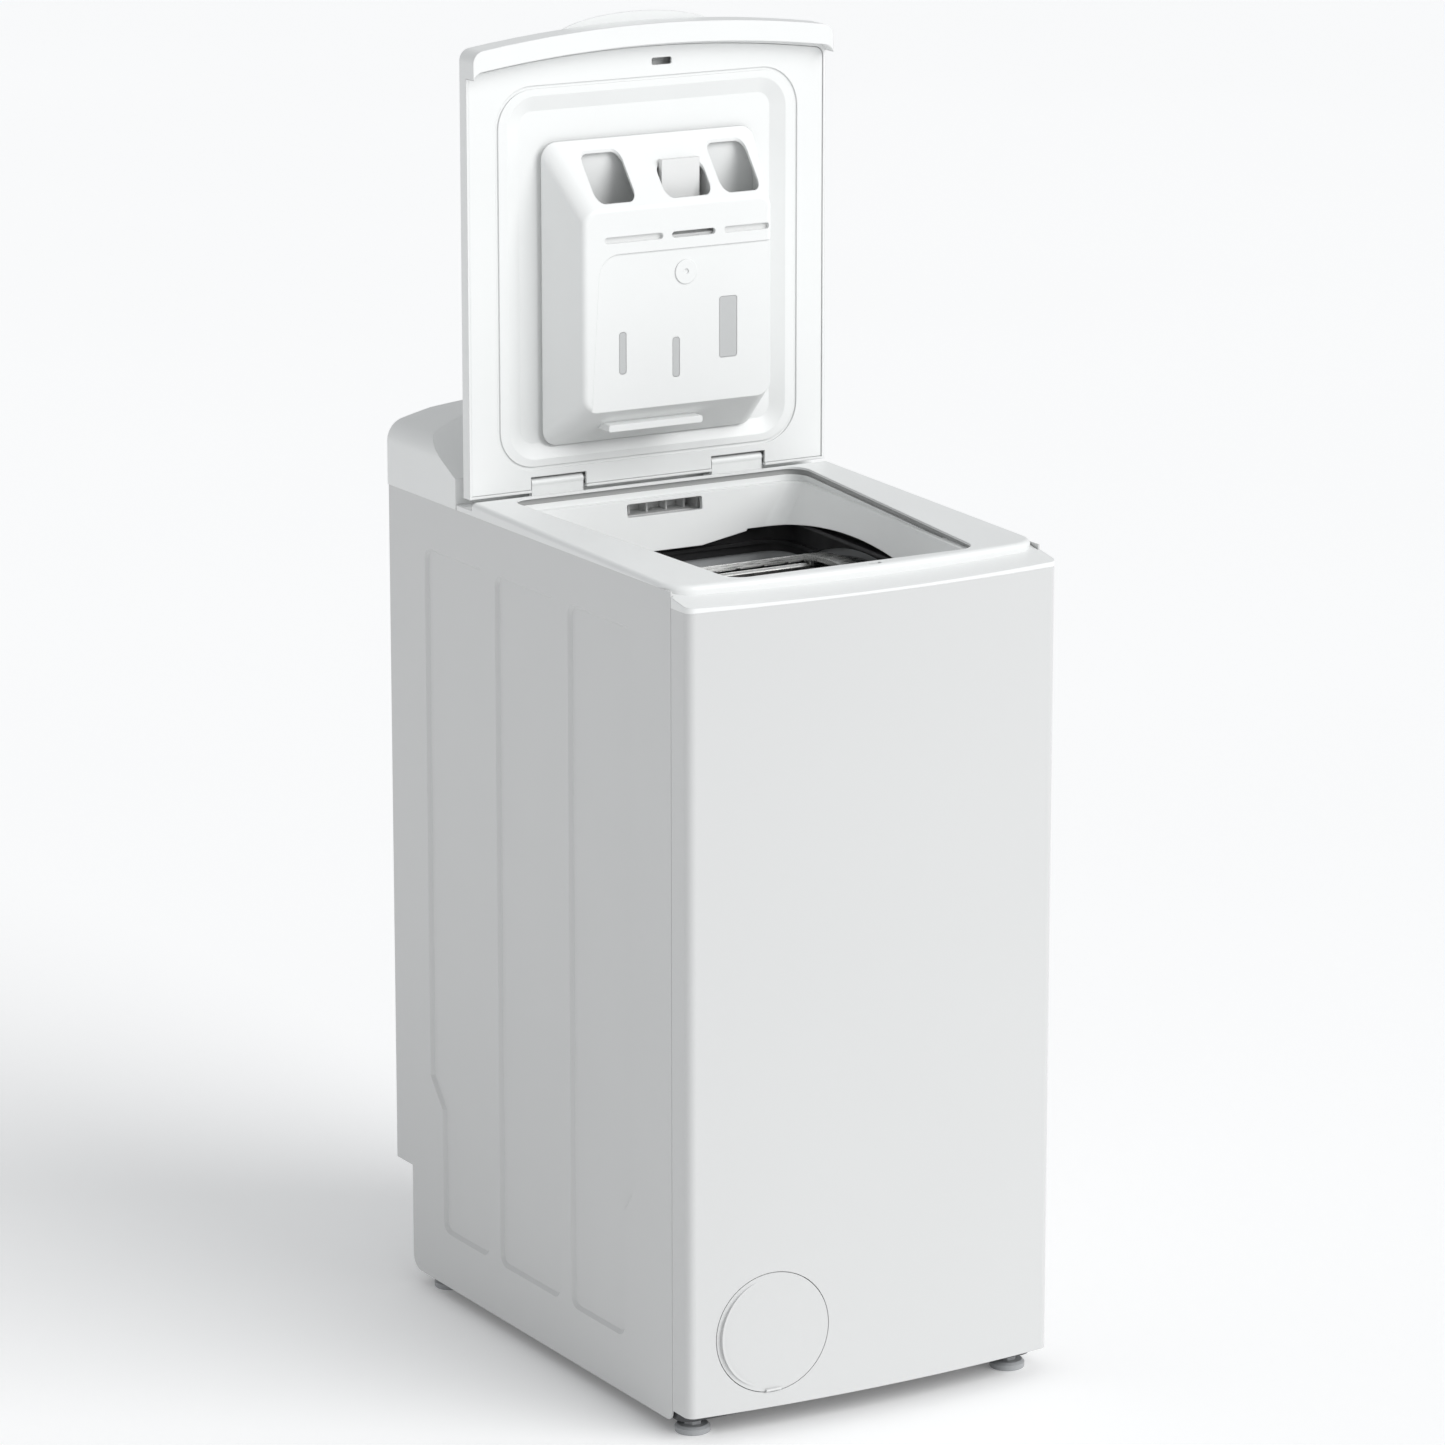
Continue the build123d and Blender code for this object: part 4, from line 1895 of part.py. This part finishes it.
def cable_gland():
    """Empty gland for the mains lead in the rear panel."""
    with BuildPart() as gland:
        with BuildSketch(plane_y(270)):
            with Locations((GLAND_X, REAR_PORT_Z)):
                Circle(9.4)
        extrude(amount=20)
        with BuildSketch(plane_y(264)):
            with Locations((GLAND_X, REAR_PORT_Z)):
                RegularPolygon(14, 6)
        extrude(amount=2)
        with BuildSketch(plane_y(280)):
            with Locations((GLAND_X, REAR_PORT_Z)):
                Circle(4.2)
        extrude(amount=40, mode=Mode.SUBTRACT)
    save(gland, "cable_gland")


def rear_screws():
    """Heads of the rear panel's and service cover's screws, a group of solids."""
    with BuildPart() as screws:
        with BuildSketch(plane_y(REAR_LIMIT)):
            with Locations((0, 462)):
                with GridLocations(376, 216, 2, 4):
                    Circle(4.2)
        extrude(amount=REAR_LIMIT - REAR_Y + 2 - SHEET)
        with BuildSketch(plane_y(REAR_LIMIT)):
            with Locations((0, 380)):
                with GridLocations(236, 290, 2, 2):
                    Circle(3.6)
        extrude(amount=REAR_LIMIT - REAR_Y + 2 - 2 * SHEET)
    save(screws, "rear_screws")


front_panel()
filter_cover()
side_panel(-1, "side_panel_left")
side_panel(1, "side_panel_right")
rear_panel()
service_cover()
base_frame()
feet([(-FOOT_X, FOOT_FRONT_Y)], "foot_front_left")
feet([(FOOT_X, FOOT_FRONT_Y)], "foot_front_right")
feet([(-FOOT_X, FOOT_REAR_Y), (FOOT_X, FOOT_REAR_Y)], "feet_rear")
top_frame()
loading_funnel()
nozzle_duct()
console_housing()
console_fascia()
display_window()
programme_knob()
push_button(0, "start_button")
push_button(1, "option_button_1")
push_button(2, "option_button_2")
control_board()
lid_outer()
lid_inner()
hinge_pins()
hinge_brackets()
dispenser_body()
siphon_insert()
door_lock()
lock_bolt()
tub_half(-1, "tub_left")
tub_half(1, "tub_right")
bellows()
drum_shell()
drum_ends()
drum_shafts()
lifters()
hatch_frame()
hatch_flap(-1, "hatch_flap_front")
hatch_flap(1, "hatch_flap_rear")
hatch_catch()
bearings()
drum_pulley()
drive_belt()
motor_housing()
motor_rotor()
counterweights()
suspension_springs()
spring_brackets()
dampers()
heater()
filter_housing()
filter_plug()
drain_pump()
pump_impeller()
drain_port()
inlet_valve()
cable_gland()
rear_screws()
drain_hoses()
inlet_hose()
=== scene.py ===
"""Looks for a slim top load washing machine standing open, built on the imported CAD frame."""
import json
import math

import bpy
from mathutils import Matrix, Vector


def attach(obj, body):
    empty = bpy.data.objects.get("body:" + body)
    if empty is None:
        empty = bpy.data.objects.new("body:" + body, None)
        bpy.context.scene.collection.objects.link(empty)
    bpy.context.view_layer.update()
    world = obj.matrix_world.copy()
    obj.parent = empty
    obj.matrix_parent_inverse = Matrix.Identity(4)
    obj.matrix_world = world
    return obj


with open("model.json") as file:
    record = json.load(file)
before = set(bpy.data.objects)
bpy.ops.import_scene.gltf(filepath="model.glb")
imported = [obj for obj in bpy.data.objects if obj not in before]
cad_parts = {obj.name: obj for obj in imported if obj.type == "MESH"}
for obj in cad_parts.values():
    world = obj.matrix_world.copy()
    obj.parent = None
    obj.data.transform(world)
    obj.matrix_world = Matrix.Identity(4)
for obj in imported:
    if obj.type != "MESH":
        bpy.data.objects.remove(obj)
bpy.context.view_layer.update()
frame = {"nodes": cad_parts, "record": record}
nodes = frame["nodes"]
MM = 0.001

# Camera: its focal length in pixels of the 1445 pixel wide image, its place in metres, and
# its angles in radians, to the right of +Y and down
IMAGE_WIDTH = 1445.0
FOCAL_LENGTH = 6332.5
SENSOR_WIDTH = 36.0
CAMERA_PLACE = (-2.99955, -5.11614, 2.08749)
CAMERA_YAW, CAMERA_PITCH = 0.531133, 0.244238

SUN_TOWARDS = (0.42, -0.75, 0.52)
SUN_STRENGTH, SUN_DEGREES = 2.0, 45
WORLD_STRENGTH = 0.57
WORLD_TINT = (0.97, 0.985, 1.0, 1)
WHITE = (1, 1, 1, 1)
FLOOR_HALF = 14

# Places of the Mix node's sockets for colours
MIX_FACTOR, MIX_FIRST, MIX_SECOND, MIX_RESULT = 0, 6, 7, 2

# Noise stretched along one axis, for brushed metal
ALONG_X = (1.0, 14.0, 14.0)
ALONG_Z = (14.0, 14.0, 1.0)
MOULDED_WHITE = (0.82, 0.83, 0.825)

# Drum, in metres: its axis, its wall's radius, the spacing of its holes
DRUM_AXIS_Y, DRUM_AXIS_Z = -0.030, 0.535
DRUM_RADIUS = 0.225
HOLE_PITCH = 0.0135
DRUM_STEEL = (0.62, 0.62, 0.61)

# Deck, in metres: its rise per metre to the rear, its height at Y 0, and the groove round
# its opening, where shade is painted, as a band of depths and an outline
DECK_SLOPE = 0.0237
DECK_MIDDLE = 0.82211
GROOVE_BOTTOM, GROOVE_TOP = 0.0075, 0.0022
GROOVE_HALF_WIDTH = 0.1665
GROOVE_FRONT, GROOVE_REAR = -0.2565, 0.1205

# Dispenser, in millimetres: level windows as (x, z, width, height), overflow slots as
# (x, width), and the depths between which each of their plates lies
CORNER_STEPS = 6
LEVEL_MARKS = [(-57.0, 963.5, 8.0, 41.0), (2.0, 954.5, 8.0, 39.0), (60.0, 979.0, 20.0, 60.0)]
LEVEL_CLEARANCE = 0.6
LEVEL_RADIUS = 2.7
LEVEL_DEPTHS = (81.7, 82.5)
OVERFLOW_SLOTS = [(-45.0, 64.0), (80.0, 50.0)]
OVERFLOW_Z = 1074.0
OVERFLOW_LAP = 3
OVERFLOW_HEIGHT = 11.0
OVERFLOW_RADIUS = 3.0
OVERFLOW_DEPTHS = (83.9, 84.5)

# The console's sloped face: a point on it, the way up the slope and the way out
SLOPE_POINT = (0.0, 211.906, 869.823)
SLOPE_UP = (0.0, 0.89365, 0.44876)
SLOPE_OUT = (0.0, -0.44876, 0.89365)
FASCIA_LIFT = 1.5

# Programme knob's scale, in millimetres and degrees
KNOB_X = 92.0
TICK_COUNT = 11
TICK_FIRST, TICK_STEP = -150, 30
TICK_INNER = 23.4
TICK_LONG, TICK_SHORT = (27.2, 0.55), (26.0, 0.35)  # outer radius and half width
LONG_EVERY = 5
TICK_SUNK, TICK_RAISED = 0.1, 0.12

# Status lamp, in millimetres: its place on the slope and its profile as (radius, out)
LAMP_X, LAMP_UP = 12.0, -2.0
LAMP_PROFILE = [(6.6, -0.9), (6.6, 1.6), (6.3, 1.95), (5.2, 2.3), (3.4, 2.6), (1.6, 2.75)]
LAMP_SIDES = 36


def add_object(name, data):
    """A new object in the scene from its data."""
    made = bpy.data.objects.new(name, data)
    bpy.context.scene.collection.objects.link(made)
    return made


# ---------------------------------------------------------------- camera and light


def add_camera():
    """Camera at the photograph's angle, without roll or shift."""
    data = bpy.data.cameras.new("camera")
    data.sensor_width = SENSOR_WIDTH
    data.lens = FOCAL_LENGTH / IMAGE_WIDTH * SENSOR_WIDTH
    data.clip_end = 60.0
    camera = add_object("camera", data)
    level = math.cos(CAMERA_PITCH)
    out = Vector(
        (math.sin(CAMERA_YAW) * level, math.cos(CAMERA_YAW) * level, -math.sin(CAMERA_PITCH))
    )
    camera.location = CAMERA_PLACE
    camera.rotation_mode = "QUATERNION"
    camera.rotation_quaternion = out.to_track_quat("-Z", "Y")
    bpy.context.scene.camera = camera


def add_sun(name, towards, strength, degrees):
    """Very soft distant light from a direction."""
    data = bpy.data.lights.new(name, "SUN")
    data.energy = strength
    data.angle = math.radians(degrees)
    lamp = add_object(name, data)
    lamp.location = Vector(towards) * 4
    lamp.rotation_mode = "QUATERNION"
    lamp.rotation_quaternion = (-Vector(towards)).to_track_quat("-Z", "Y")


def add_world(strength):
    """Even pale surroundings, dimmer and bluer as a light than as the white background."""
    world = bpy.data.worlds.new("studio")
    world.use_nodes = True
    tree = world.node_tree
    tree.nodes.clear()
    path = tree.nodes.new("ShaderNodeLightPath")
    light = tree.nodes.new("ShaderNodeBackground")
    light.inputs["Color"].default_value = WORLD_TINT
    light.inputs["Strength"].default_value = strength
    seen = tree.nodes.new("ShaderNodeBackground")
    seen.inputs["Color"].default_value = WHITE
    seen.inputs["Strength"].default_value = 1.0
    mix = tree.nodes.new("ShaderNodeMixShader")
    out = tree.nodes.new("ShaderNodeOutputWorld")
    tree.links.new(path.outputs["Is Camera Ray"], mix.inputs[0])
    tree.links.new(light.outputs[0], mix.inputs[1])
    tree.links.new(seen.outputs[0], mix.inputs[2])
    tree.links.new(mix.outputs[0], out.inputs["Surface"])
    bpy.context.scene.world = world


# ---------------------------------------------------------------- materials


class Shader:
    """A Principled material with helpers for procedural colour, roughness and bump."""

    def __init__(self, name, color, rough, metallic=0.0, **sockets):
        self.mat = bpy.data.materials.new(name)
        self.mat.use_nodes = True
        self.tree = self.mat.node_tree
        self.bsdf = self.tree.nodes["Principled BSDF"]
        self.bsdf.inputs["Base Color"].default_value = (*color, 1)
        self.bsdf.inputs["Roughness"].default_value = rough
        self.bsdf.inputs["Metallic"].default_value = metallic
        for key, value in sockets.items():
            self.bsdf.inputs[key.replace("_", " ")].default_value = value
        self.color = color
        self.normal = None
        self.coord = self.tree.nodes.new("ShaderNodeTexCoord").outputs["Object"]

    def node(self, kind, **settings):
        made = self.tree.nodes.new(kind)
        for key, value in settings.items():
            setattr(made, key, value)
        return made

    def link(self, a, b):
        self.tree.links.new(a, b)

    def mapped(self, scale):
        """Object coordinates stretched by a scale per axis."""
        mapping = self.node("ShaderNodeMapping")
        mapping.inputs["Scale"].default_value = scale
        self.link(self.coord, mapping.inputs["Vector"])
        return mapping.outputs["Vector"]

    def noise(self, scale, detail=3.0, stretch=None, roughness=0.5):
        made = self.node("ShaderNodeTexNoise")
        made.inputs["Scale"].default_value = scale
        made.inputs["Detail"].default_value = detail
        made.inputs["Roughness"].default_value = roughness
        self.link(self.mapped(stretch) if stretch else self.coord, made.inputs["Vector"])
        return made.outputs["Fac"]

    def math(self, operation, *values):
        """A Math node on numbers and sockets."""
        made = self.node("ShaderNodeMath", operation=operation)
        for socket, value in zip(made.inputs, values):
            if isinstance(value, (int, float)):
                socket.default_value = value
            else:
                self.link(value, socket)
        return made.outputs[0]

    def xyz(self):
        """The object coordinates apart, as the outputs X, Y and Z."""
        split = self.node("ShaderNodeSeparateXYZ")
        self.link(self.coord, split.inputs[0])
        return split.outputs

    def ramp(self, value, low, high, out_low, out_high):
        made = self.node("ShaderNodeMapRange")
        for key, number in zip(("From Min", "From Max", "To Min", "To Max"),
                               (low, high, out_low, out_high)):
            made.inputs[key].default_value = number
        self.link(value, made.inputs["Value"])
        return made.outputs["Result"]

    def tint(self, factor, other):
        """Mix the base colour towards another by a factor."""
        mix = self.node("ShaderNodeMix", data_type="RGBA")
        self.link(factor, mix.inputs[MIX_FACTOR])
        target = self.bsdf.inputs["Base Color"]
        if target.is_linked:
            self.link(target.links[0].from_socket, mix.inputs[MIX_FIRST])
        else:
            mix.inputs[MIX_FIRST].default_value = (*self.color, 1)
        mix.inputs[MIX_SECOND].default_value = (*other, 1)
        self.link(mix.outputs[MIX_RESULT], target)

    def rough(self, factor, low, high):
        """Roughness that follows a noise between two values."""
        self.link(self.ramp(factor, 0.3, 0.7, low, high), self.bsdf.inputs["Roughness"])

    def soften(self, radius):
        """Round the look of hard edges."""
        bevel = self.node("ShaderNodeBevel", samples=4)
        bevel.inputs["Radius"].default_value = radius
        self.normal = bevel.outputs["Normal"]
        self.link(self.normal, self.bsdf.inputs["Normal"])

    def bump(self, height, strength, distance):
        made = self.node("ShaderNodeBump")
        made.inputs["Strength"].default_value = strength
        made.inputs["Distance"].default_value = distance
        self.link(height, made.inputs["Height"])
        if self.normal is not None:
            self.link(self.normal, made.inputs["Normal"])
        self.normal = made.outputs["Normal"]
        self.link(self.normal, self.bsdf.inputs["Normal"])


def shade(color, k):
    return tuple(min(c * k, 1.0) for c in color)


def enamel(name, color):
    """Stoved enamel on sheet steel: faint orange peel and slow waviness."""
    s = Shader(name, color, 0.34, Coat_Weight=0.25, Coat_Roughness=0.12)
    s.tint(s.ramp(s.noise(2.2, 2), 0.35, 0.65, 0.0, 0.5), shade(color, 0.975))
    s.rough(s.noise(14, 3), 0.30, 0.38)
    s.bump(s.noise(260, 2), 0.02, 0.0002)
    return s.mat


def moulded_shader(name, color, rough, grain=900, strength=0.1):
    """Moulded plastic with a fine grain and faint flow marks, still open to changes."""
    s = Shader(name, color, rough)
    s.soften(0.0012)
    s.tint(s.ramp(s.noise(6, 3), 0.35, 0.7, 0.0, 0.6), shade(color, 0.965))
    s.rough(s.noise(25, 3), rough - 0.06, rough + 0.06)
    s.bump(s.noise(grain, 2), strength, 0.0003)
    return s


def moulded(name, color, rough, grain=900, strength=0.1):
    """Moulded plastic."""
    return moulded_shader(name, color, rough, grain, strength).mat


def rubber(name, color, rough=0.58):
    """Black moulded rubber with a dusty bloom."""
    s = Shader(name, color, rough, Specular_IOR_Level=0.35)
    s.soften(0.0012)
    s.tint(s.ramp(s.noise(30, 4), 0.45, 0.75, 0.0, 0.5), shade(color, 2.2))
    s.rough(s.noise(40, 4), rough - 0.08, rough + 0.1)
    s.bump(s.noise(700, 3), 0.2, 0.0004)
    return s.mat


def brushed(name, color, rough, stretch):
    """Brushed or rolled metal: fine scratches along one axis."""
    s = Shader(name, color, rough, 1.0)
    s.soften(0.0006)
    streaks = s.noise(60, 4, stretch)
    s.tint(s.ramp(streaks, 0.3, 0.7, 0.0, 0.5), shade(color, 0.8))
    s.rough(streaks, rough - 0.08, rough + 0.1)
    s.bump(streaks, 0.12, 0.0002)
    return s.mat


def cast(name, color, rough, metallic, grain, strength):
    """Cast or galvanised surface with coarse grain."""
    s = Shader(name, color, rough, metallic)
    s.soften(0.001)
    s.tint(s.ramp(s.noise(grain * 0.3, 4), 0.35, 0.65, 0.0, 0.8), shade(color, 0.78))
    s.rough(s.noise(grain * 0.5, 3), rough - 0.08, rough + 0.1)
    s.bump(s.noise(grain, 4), strength, 0.0008)
    return s.mat


def perforated_steel(name):
    """Stainless drum wall: brushed, with rows of round holes in shallow dimples; the holes are
    painted near black as the shade seen through them.
    """
    s = Shader(name, DRUM_STEEL, 0.26, 1.0)
    streaks = s.noise(60, 4, ALONG_X)
    s.tint(s.ramp(streaks, 0.3, 0.7, 0.0, 0.5), (0.5, 0.5, 0.49))
    place = s.xyz()
    y = s.math("ADD", place["Y"], -DRUM_AXIS_Y)
    z = s.math("SUBTRACT", place["Z"], DRUM_AXIS_Z)
    round_way = s.math("MULTIPLY", s.math("ARCTAN2", y, z), DRUM_RADIUS)
    across = s.math("DIVIDE", place["X"], HOLE_PITCH)
    row = s.math("FLOOR", across)
    shift = s.math("MULTIPLY", s.math("MODULO", row, 2.0), 0.5)
    along = s.math("ADD", s.math("DIVIDE", round_way, HOLE_PITCH), shift)
    du = s.math("SUBTRACT", s.math("FRACT", across), 0.5)
    dv = s.math("SUBTRACT", s.math("FRACT", along), 0.5)
    squares = s.math("ADD", s.math("POWER", du, 2.0), s.math("POWER", dv, 2.0))
    distance = s.math("SQRT", squares)
    hole_shade = s.ramp(distance, 0.13, 0.16, 1.0, 0.0)
    # Painted shade: the holes are coloured near black and not metallic, for the dark seen through
    # them
    s.tint(hole_shade, (0.01, 0.01, 0.01))
    s.link(s.ramp(hole_shade, 0.0, 1.0, 1.0, 0.0), s.bsdf.inputs["Metallic"])
    s.bump(s.ramp(distance, 0.13, 0.34, 0.0, 1.0), 0.5, 0.0012)
    s.bump(streaks, 0.1, 0.0002)
    return s.mat


def deck_groove_shaded(name, color):
    """The deck's moulded white with painted shade, a grey line, in the groove round the opening."""
    s = moulded_shader(name, color, 0.36)
    place = s.xyz()

    def between(value, low, high):
        """1 where a value lies between two numbers, else 0."""
        return s.math("COMPARE", value, (low + high) / 2, (high - low) / 2)

    level = s.math("MULTIPLY_ADD", place["Y"], -DECK_SLOPE, place["Z"])
    groove_shade = between(level, DECK_MIDDLE - GROOVE_BOTTOM, DECK_MIDDLE - GROOVE_TOP)
    in_width = between(place["X"], -GROOVE_HALF_WIDTH, GROOVE_HALF_WIDTH)
    in_length = between(place["Y"], GROOVE_FRONT, GROOVE_REAR)
    # Painted shade: the band of the groove is darkened to 45 per cent of the white
    s.tint(s.math("MULTIPLY", s.math("MULTIPLY", groove_shade, in_width), in_length), shade(color, 0.45))
    return s.mat


def window(name):
    """Smoked clear window."""
    s = Shader(name, (0.012, 0.014, 0.016), 0.08, Coat_Weight=0.6)
    s.tint(s.ramp(s.noise(12, 2), 0.4, 0.7, 0.0, 0.4), (0.02, 0.022, 0.024))
    s.rough(s.noise(30, 2), 0.06, 0.12)
    return s.mat


def circuit(name):
    """Solder mask with traces."""
    s = Shader(name, (0.03, 0.2, 0.09), 0.35)
    brick = s.node("ShaderNodeTexBrick")
    brick.inputs["Scale"].default_value = 60
    brick.inputs["Mortar Size"].default_value = 0.04
    s.link(s.coord, brick.inputs["Vector"])
    s.tint(brick.outputs["Fac"], (0.08, 0.4, 0.16))
    s.bump(brick.outputs["Fac"], 0.2, 0.0003)
    return s.mat


materials = {
    "enamel_white": enamel("enamel_white", (0.61, 0.615, 0.613)),
    "plastic_white": moulded("plastic_white", MOULDED_WHITE, 0.36),
    "plastic_white_matte": moulded("plastic_white_matte", (0.76, 0.765, 0.76), 0.48),
    "plastic_grey": moulded("plastic_grey", (0.36, 0.37, 0.38), 0.45),
    "plastic_dark": moulded("plastic_dark", (0.035, 0.036, 0.038), 0.42),
    "plastic_clear": moulded("plastic_clear", (0.52, 0.53, 0.53), 0.36),
    "board_green": circuit("board_green"),
    "window_dark": window("window_dark"),
    "rubber_black": rubber("rubber_black", (0.012, 0.012, 0.013)),
    "hose_grey": rubber("hose_grey", (0.16, 0.16, 0.165)),
    "steel_drum": brushed("steel_drum", DRUM_STEEL, 0.28, ALONG_X),
    "steel_zinc": brushed("steel_zinc", (0.6, 0.61, 0.63), 0.34, ALONG_Z),
    "steel_galvanised": cast("steel_galvanised", (0.55, 0.57, 0.58), 0.42, 0.8, 90, 0.08),
    "frame_dark": cast("frame_dark", (0.06, 0.062, 0.066), 0.5, 0.0, 500, 0.2),
    "cast_aluminium": cast("cast_aluminium", (0.62, 0.63, 0.64), 0.42, 1.0, 300, 0.3),
    "tub_plastic": moulded("tub_plastic", (0.42, 0.43, 0.44), 0.5, 400, 0.2),
    "concrete": cast("concrete", (0.38, 0.37, 0.35), 0.9, 0.0, 120, 0.8),
    # The slot is named for brass, but the valve is moulded in pale nylon
    "brass_inlet": moulded("valve_nylon", (0.7, 0.7, 0.68), 0.45),
}
# Nodes whose material isn't simply that of their slot
SPECIAL = {
    "drum_shell": perforated_steel("steel_perforated"),
    "top_frame": deck_groove_shaded("deck_white", MOULDED_WHITE),
}


def dress_nodes():
    """Give each CAD node its material."""
    for part in frame["record"]["subparts"]:
        mesh = nodes[part["node"]].data
        mesh.materials.clear()
        mesh.materials.append(SPECIAL.get(part["node"], materials[part["material_slot"]]))


# ---------------------------------------------------------------- added detail


def mesh_piece(name, body, material, vertices, faces):
    """A piece from plain mesh data, in metres, riding on a body."""
    mesh = bpy.data.meshes.new(name)
    mesh.from_pydata(vertices, [], faces)
    mesh.validate()
    mesh.materials.append(material)
    piece = add_object(name, mesh)
    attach(piece, body)
    return piece


def rounded_plate(x, z, width, height, radius, depths):
    """Vertices and faces of an upright plate with rounded corners, between two depths."""
    y0, y1 = depths
    ring = []
    for quarter, (sx, sz) in enumerate(((1, 1), (-1, 1), (-1, -1), (1, -1))):
        for step in range(CORNER_STEPS + 1):
            angle = math.radians(90 * quarter + 90 / CORNER_STEPS * step)
            ring.append(
                (
                    x + sx * (width / 2 - radius) + radius * math.cos(angle),
                    z + sz * (height / 2 - radius) + radius * math.sin(angle),
                )
            )
    count = len(ring)
    vertices = [(u * MM, y1 * MM, v * MM) for u, v in ring]
    vertices += [(u * MM, y0 * MM, v * MM) for u, v in ring]
    faces = [tuple(range(count - 1, -1, -1)), tuple(range(count, 2 * count))]
    faces += [(i, (i + 1) % count, count + (i + 1) % count, count + i) for i in range(count)]
    return vertices, faces


def add_level_marks():
    """Pale grey plates at the level windows in the dispenser's face; their grey is painted shade of
    the shallow slots there.
    """
    # Painted shade: the plain grey plates stand for the shade in shallow slots
    material = materials["plastic_clear"]
    for index, (x, z, width, height) in enumerate(LEVEL_MARKS):
        size = (width - LEVEL_CLEARANCE, height - LEVEL_CLEARANCE)
        vertices, faces = rounded_plate(x, z, *size, LEVEL_RADIUS, LEVEL_DEPTHS)
        piece = mesh_piece(f"level_mark_{index}", "dispenser", material, vertices, faces)


def add_overflow_strips():
    """Pale baffles behind the outer two overflow slots of the dispenser."""
    material = materials["plastic_white_matte"]
    for index, (x, width) in enumerate(OVERFLOW_SLOTS):
        size = (width + OVERFLOW_LAP, OVERFLOW_HEIGHT)
        vertices, faces = rounded_plate(x, OVERFLOW_Z, *size, OVERFLOW_RADIUS, OVERFLOW_DEPTHS)
        piece = mesh_piece(f"overflow_strip_{index}", "dispenser", material, vertices, faces)


def on_slope(x, up, out):
    """A point in metres from its place on the console's sloped face in millimetres."""
    return tuple(
        (SLOPE_POINT[i] + (x if i == 0 else 0.0) + SLOPE_UP[i] * up + SLOPE_OUT[i] * out) * MM
        for i in range(3)
    )


def add_dial_ticks():
    """Scale round the programme knob: eleven fine bars, the first and every fifth longer."""
    vertices, faces = [], []
    for index in range(TICK_COUNT):
        angle = math.radians(TICK_FIRST + TICK_STEP * index)
        along = (math.sin(angle), math.cos(angle))
        across = (along[1], -along[0])
        far, half = TICK_LONG if index % LONG_EVERY == 0 else TICK_SHORT
        a = len(vertices)
        corners = ((TICK_INNER, -half), (TICK_INNER, half), (far, half), (far, -half))
        for out in (FASCIA_LIFT - TICK_SUNK, FASCIA_LIFT + TICK_RAISED):
            for radius, side in corners:
                vertices.append(
                    on_slope(
                        KNOB_X + along[0] * radius + across[0] * side,
                        along[1] * radius + across[1] * side,
                        out,
                    )
                )
        faces += [(a + 4, a + 5, a + 6, a + 7), (a, a + 3, a + 2, a + 1)]
        faces += [(a + i, a + (i + 1) % 4, a + 4 + (i + 1) % 4, a + 4 + i) for i in range(4)]
    piece = mesh_piece("dial_ticks", "cabinet", materials["plastic_dark"], vertices, faces)


def add_status_lamp():
    """Low domed lens let into the fascia beside the option buttons."""
    count = LAMP_SIDES
    last = len(LAMP_PROFILE) - 1
    vertices = []
    for radius, out in LAMP_PROFILE:
        for step in range(count):
            angle = 2 * math.pi * step / count
            vertices.append(
                on_slope(LAMP_X + radius * math.cos(angle), LAMP_UP + radius * math.sin(angle), out)
            )
    faces = []
    for ring in range(last):
        for step in range(count):
            a, b = ring * count + step, ring * count + (step + 1) % count
            faces.append((a, b, b + count, a + count))
    faces.append(tuple(range(last * count, (last + 1) * count)))
    faces.append(tuple(range(count - 1, -1, -1)))
    piece = mesh_piece("status_lamp", "cabinet", materials["plastic_clear"], vertices, faces)
    polygons = piece.data.polygons
    polygons.foreach_set("use_smooth", [len(p.vertices) == 4 for p in polygons])


# ---------------------------------------------------------------- scene


def add_floor():
    """Plain pale floor that glows a little, so that it meets the white background."""
    mesh = bpy.data.meshes.new("floor")
    corners = [(x * FLOOR_HALF, y * FLOOR_HALF, 0) for x, y in ((-1, -1), (1, -1), (1, 1), (-1, 1))]
    mesh.from_pydata(corners, [], [(0, 1, 2, 3)])
    s = Shader(
        "floor_pale", (0.97, 0.97, 0.97), 0.7, Emission_Color=WHITE, Emission_Strength=0.12
    )
    s.tint(s.ramp(s.noise(0.6, 2), 0.4, 0.6, 0.0, 0.3), (0.95, 0.95, 0.95))
    mesh.materials.append(s.mat)
    floor = add_object("floor", mesh)


bpy.context.scene.view_settings.view_transform = "Standard"
add_camera()
add_world(WORLD_STRENGTH)
add_sun("key", SUN_TOWARDS, SUN_STRENGTH, SUN_DEGREES)
add_floor()
dress_nodes()
add_level_marks()
add_overflow_strips()
add_dial_ticks()
add_status_lamp()
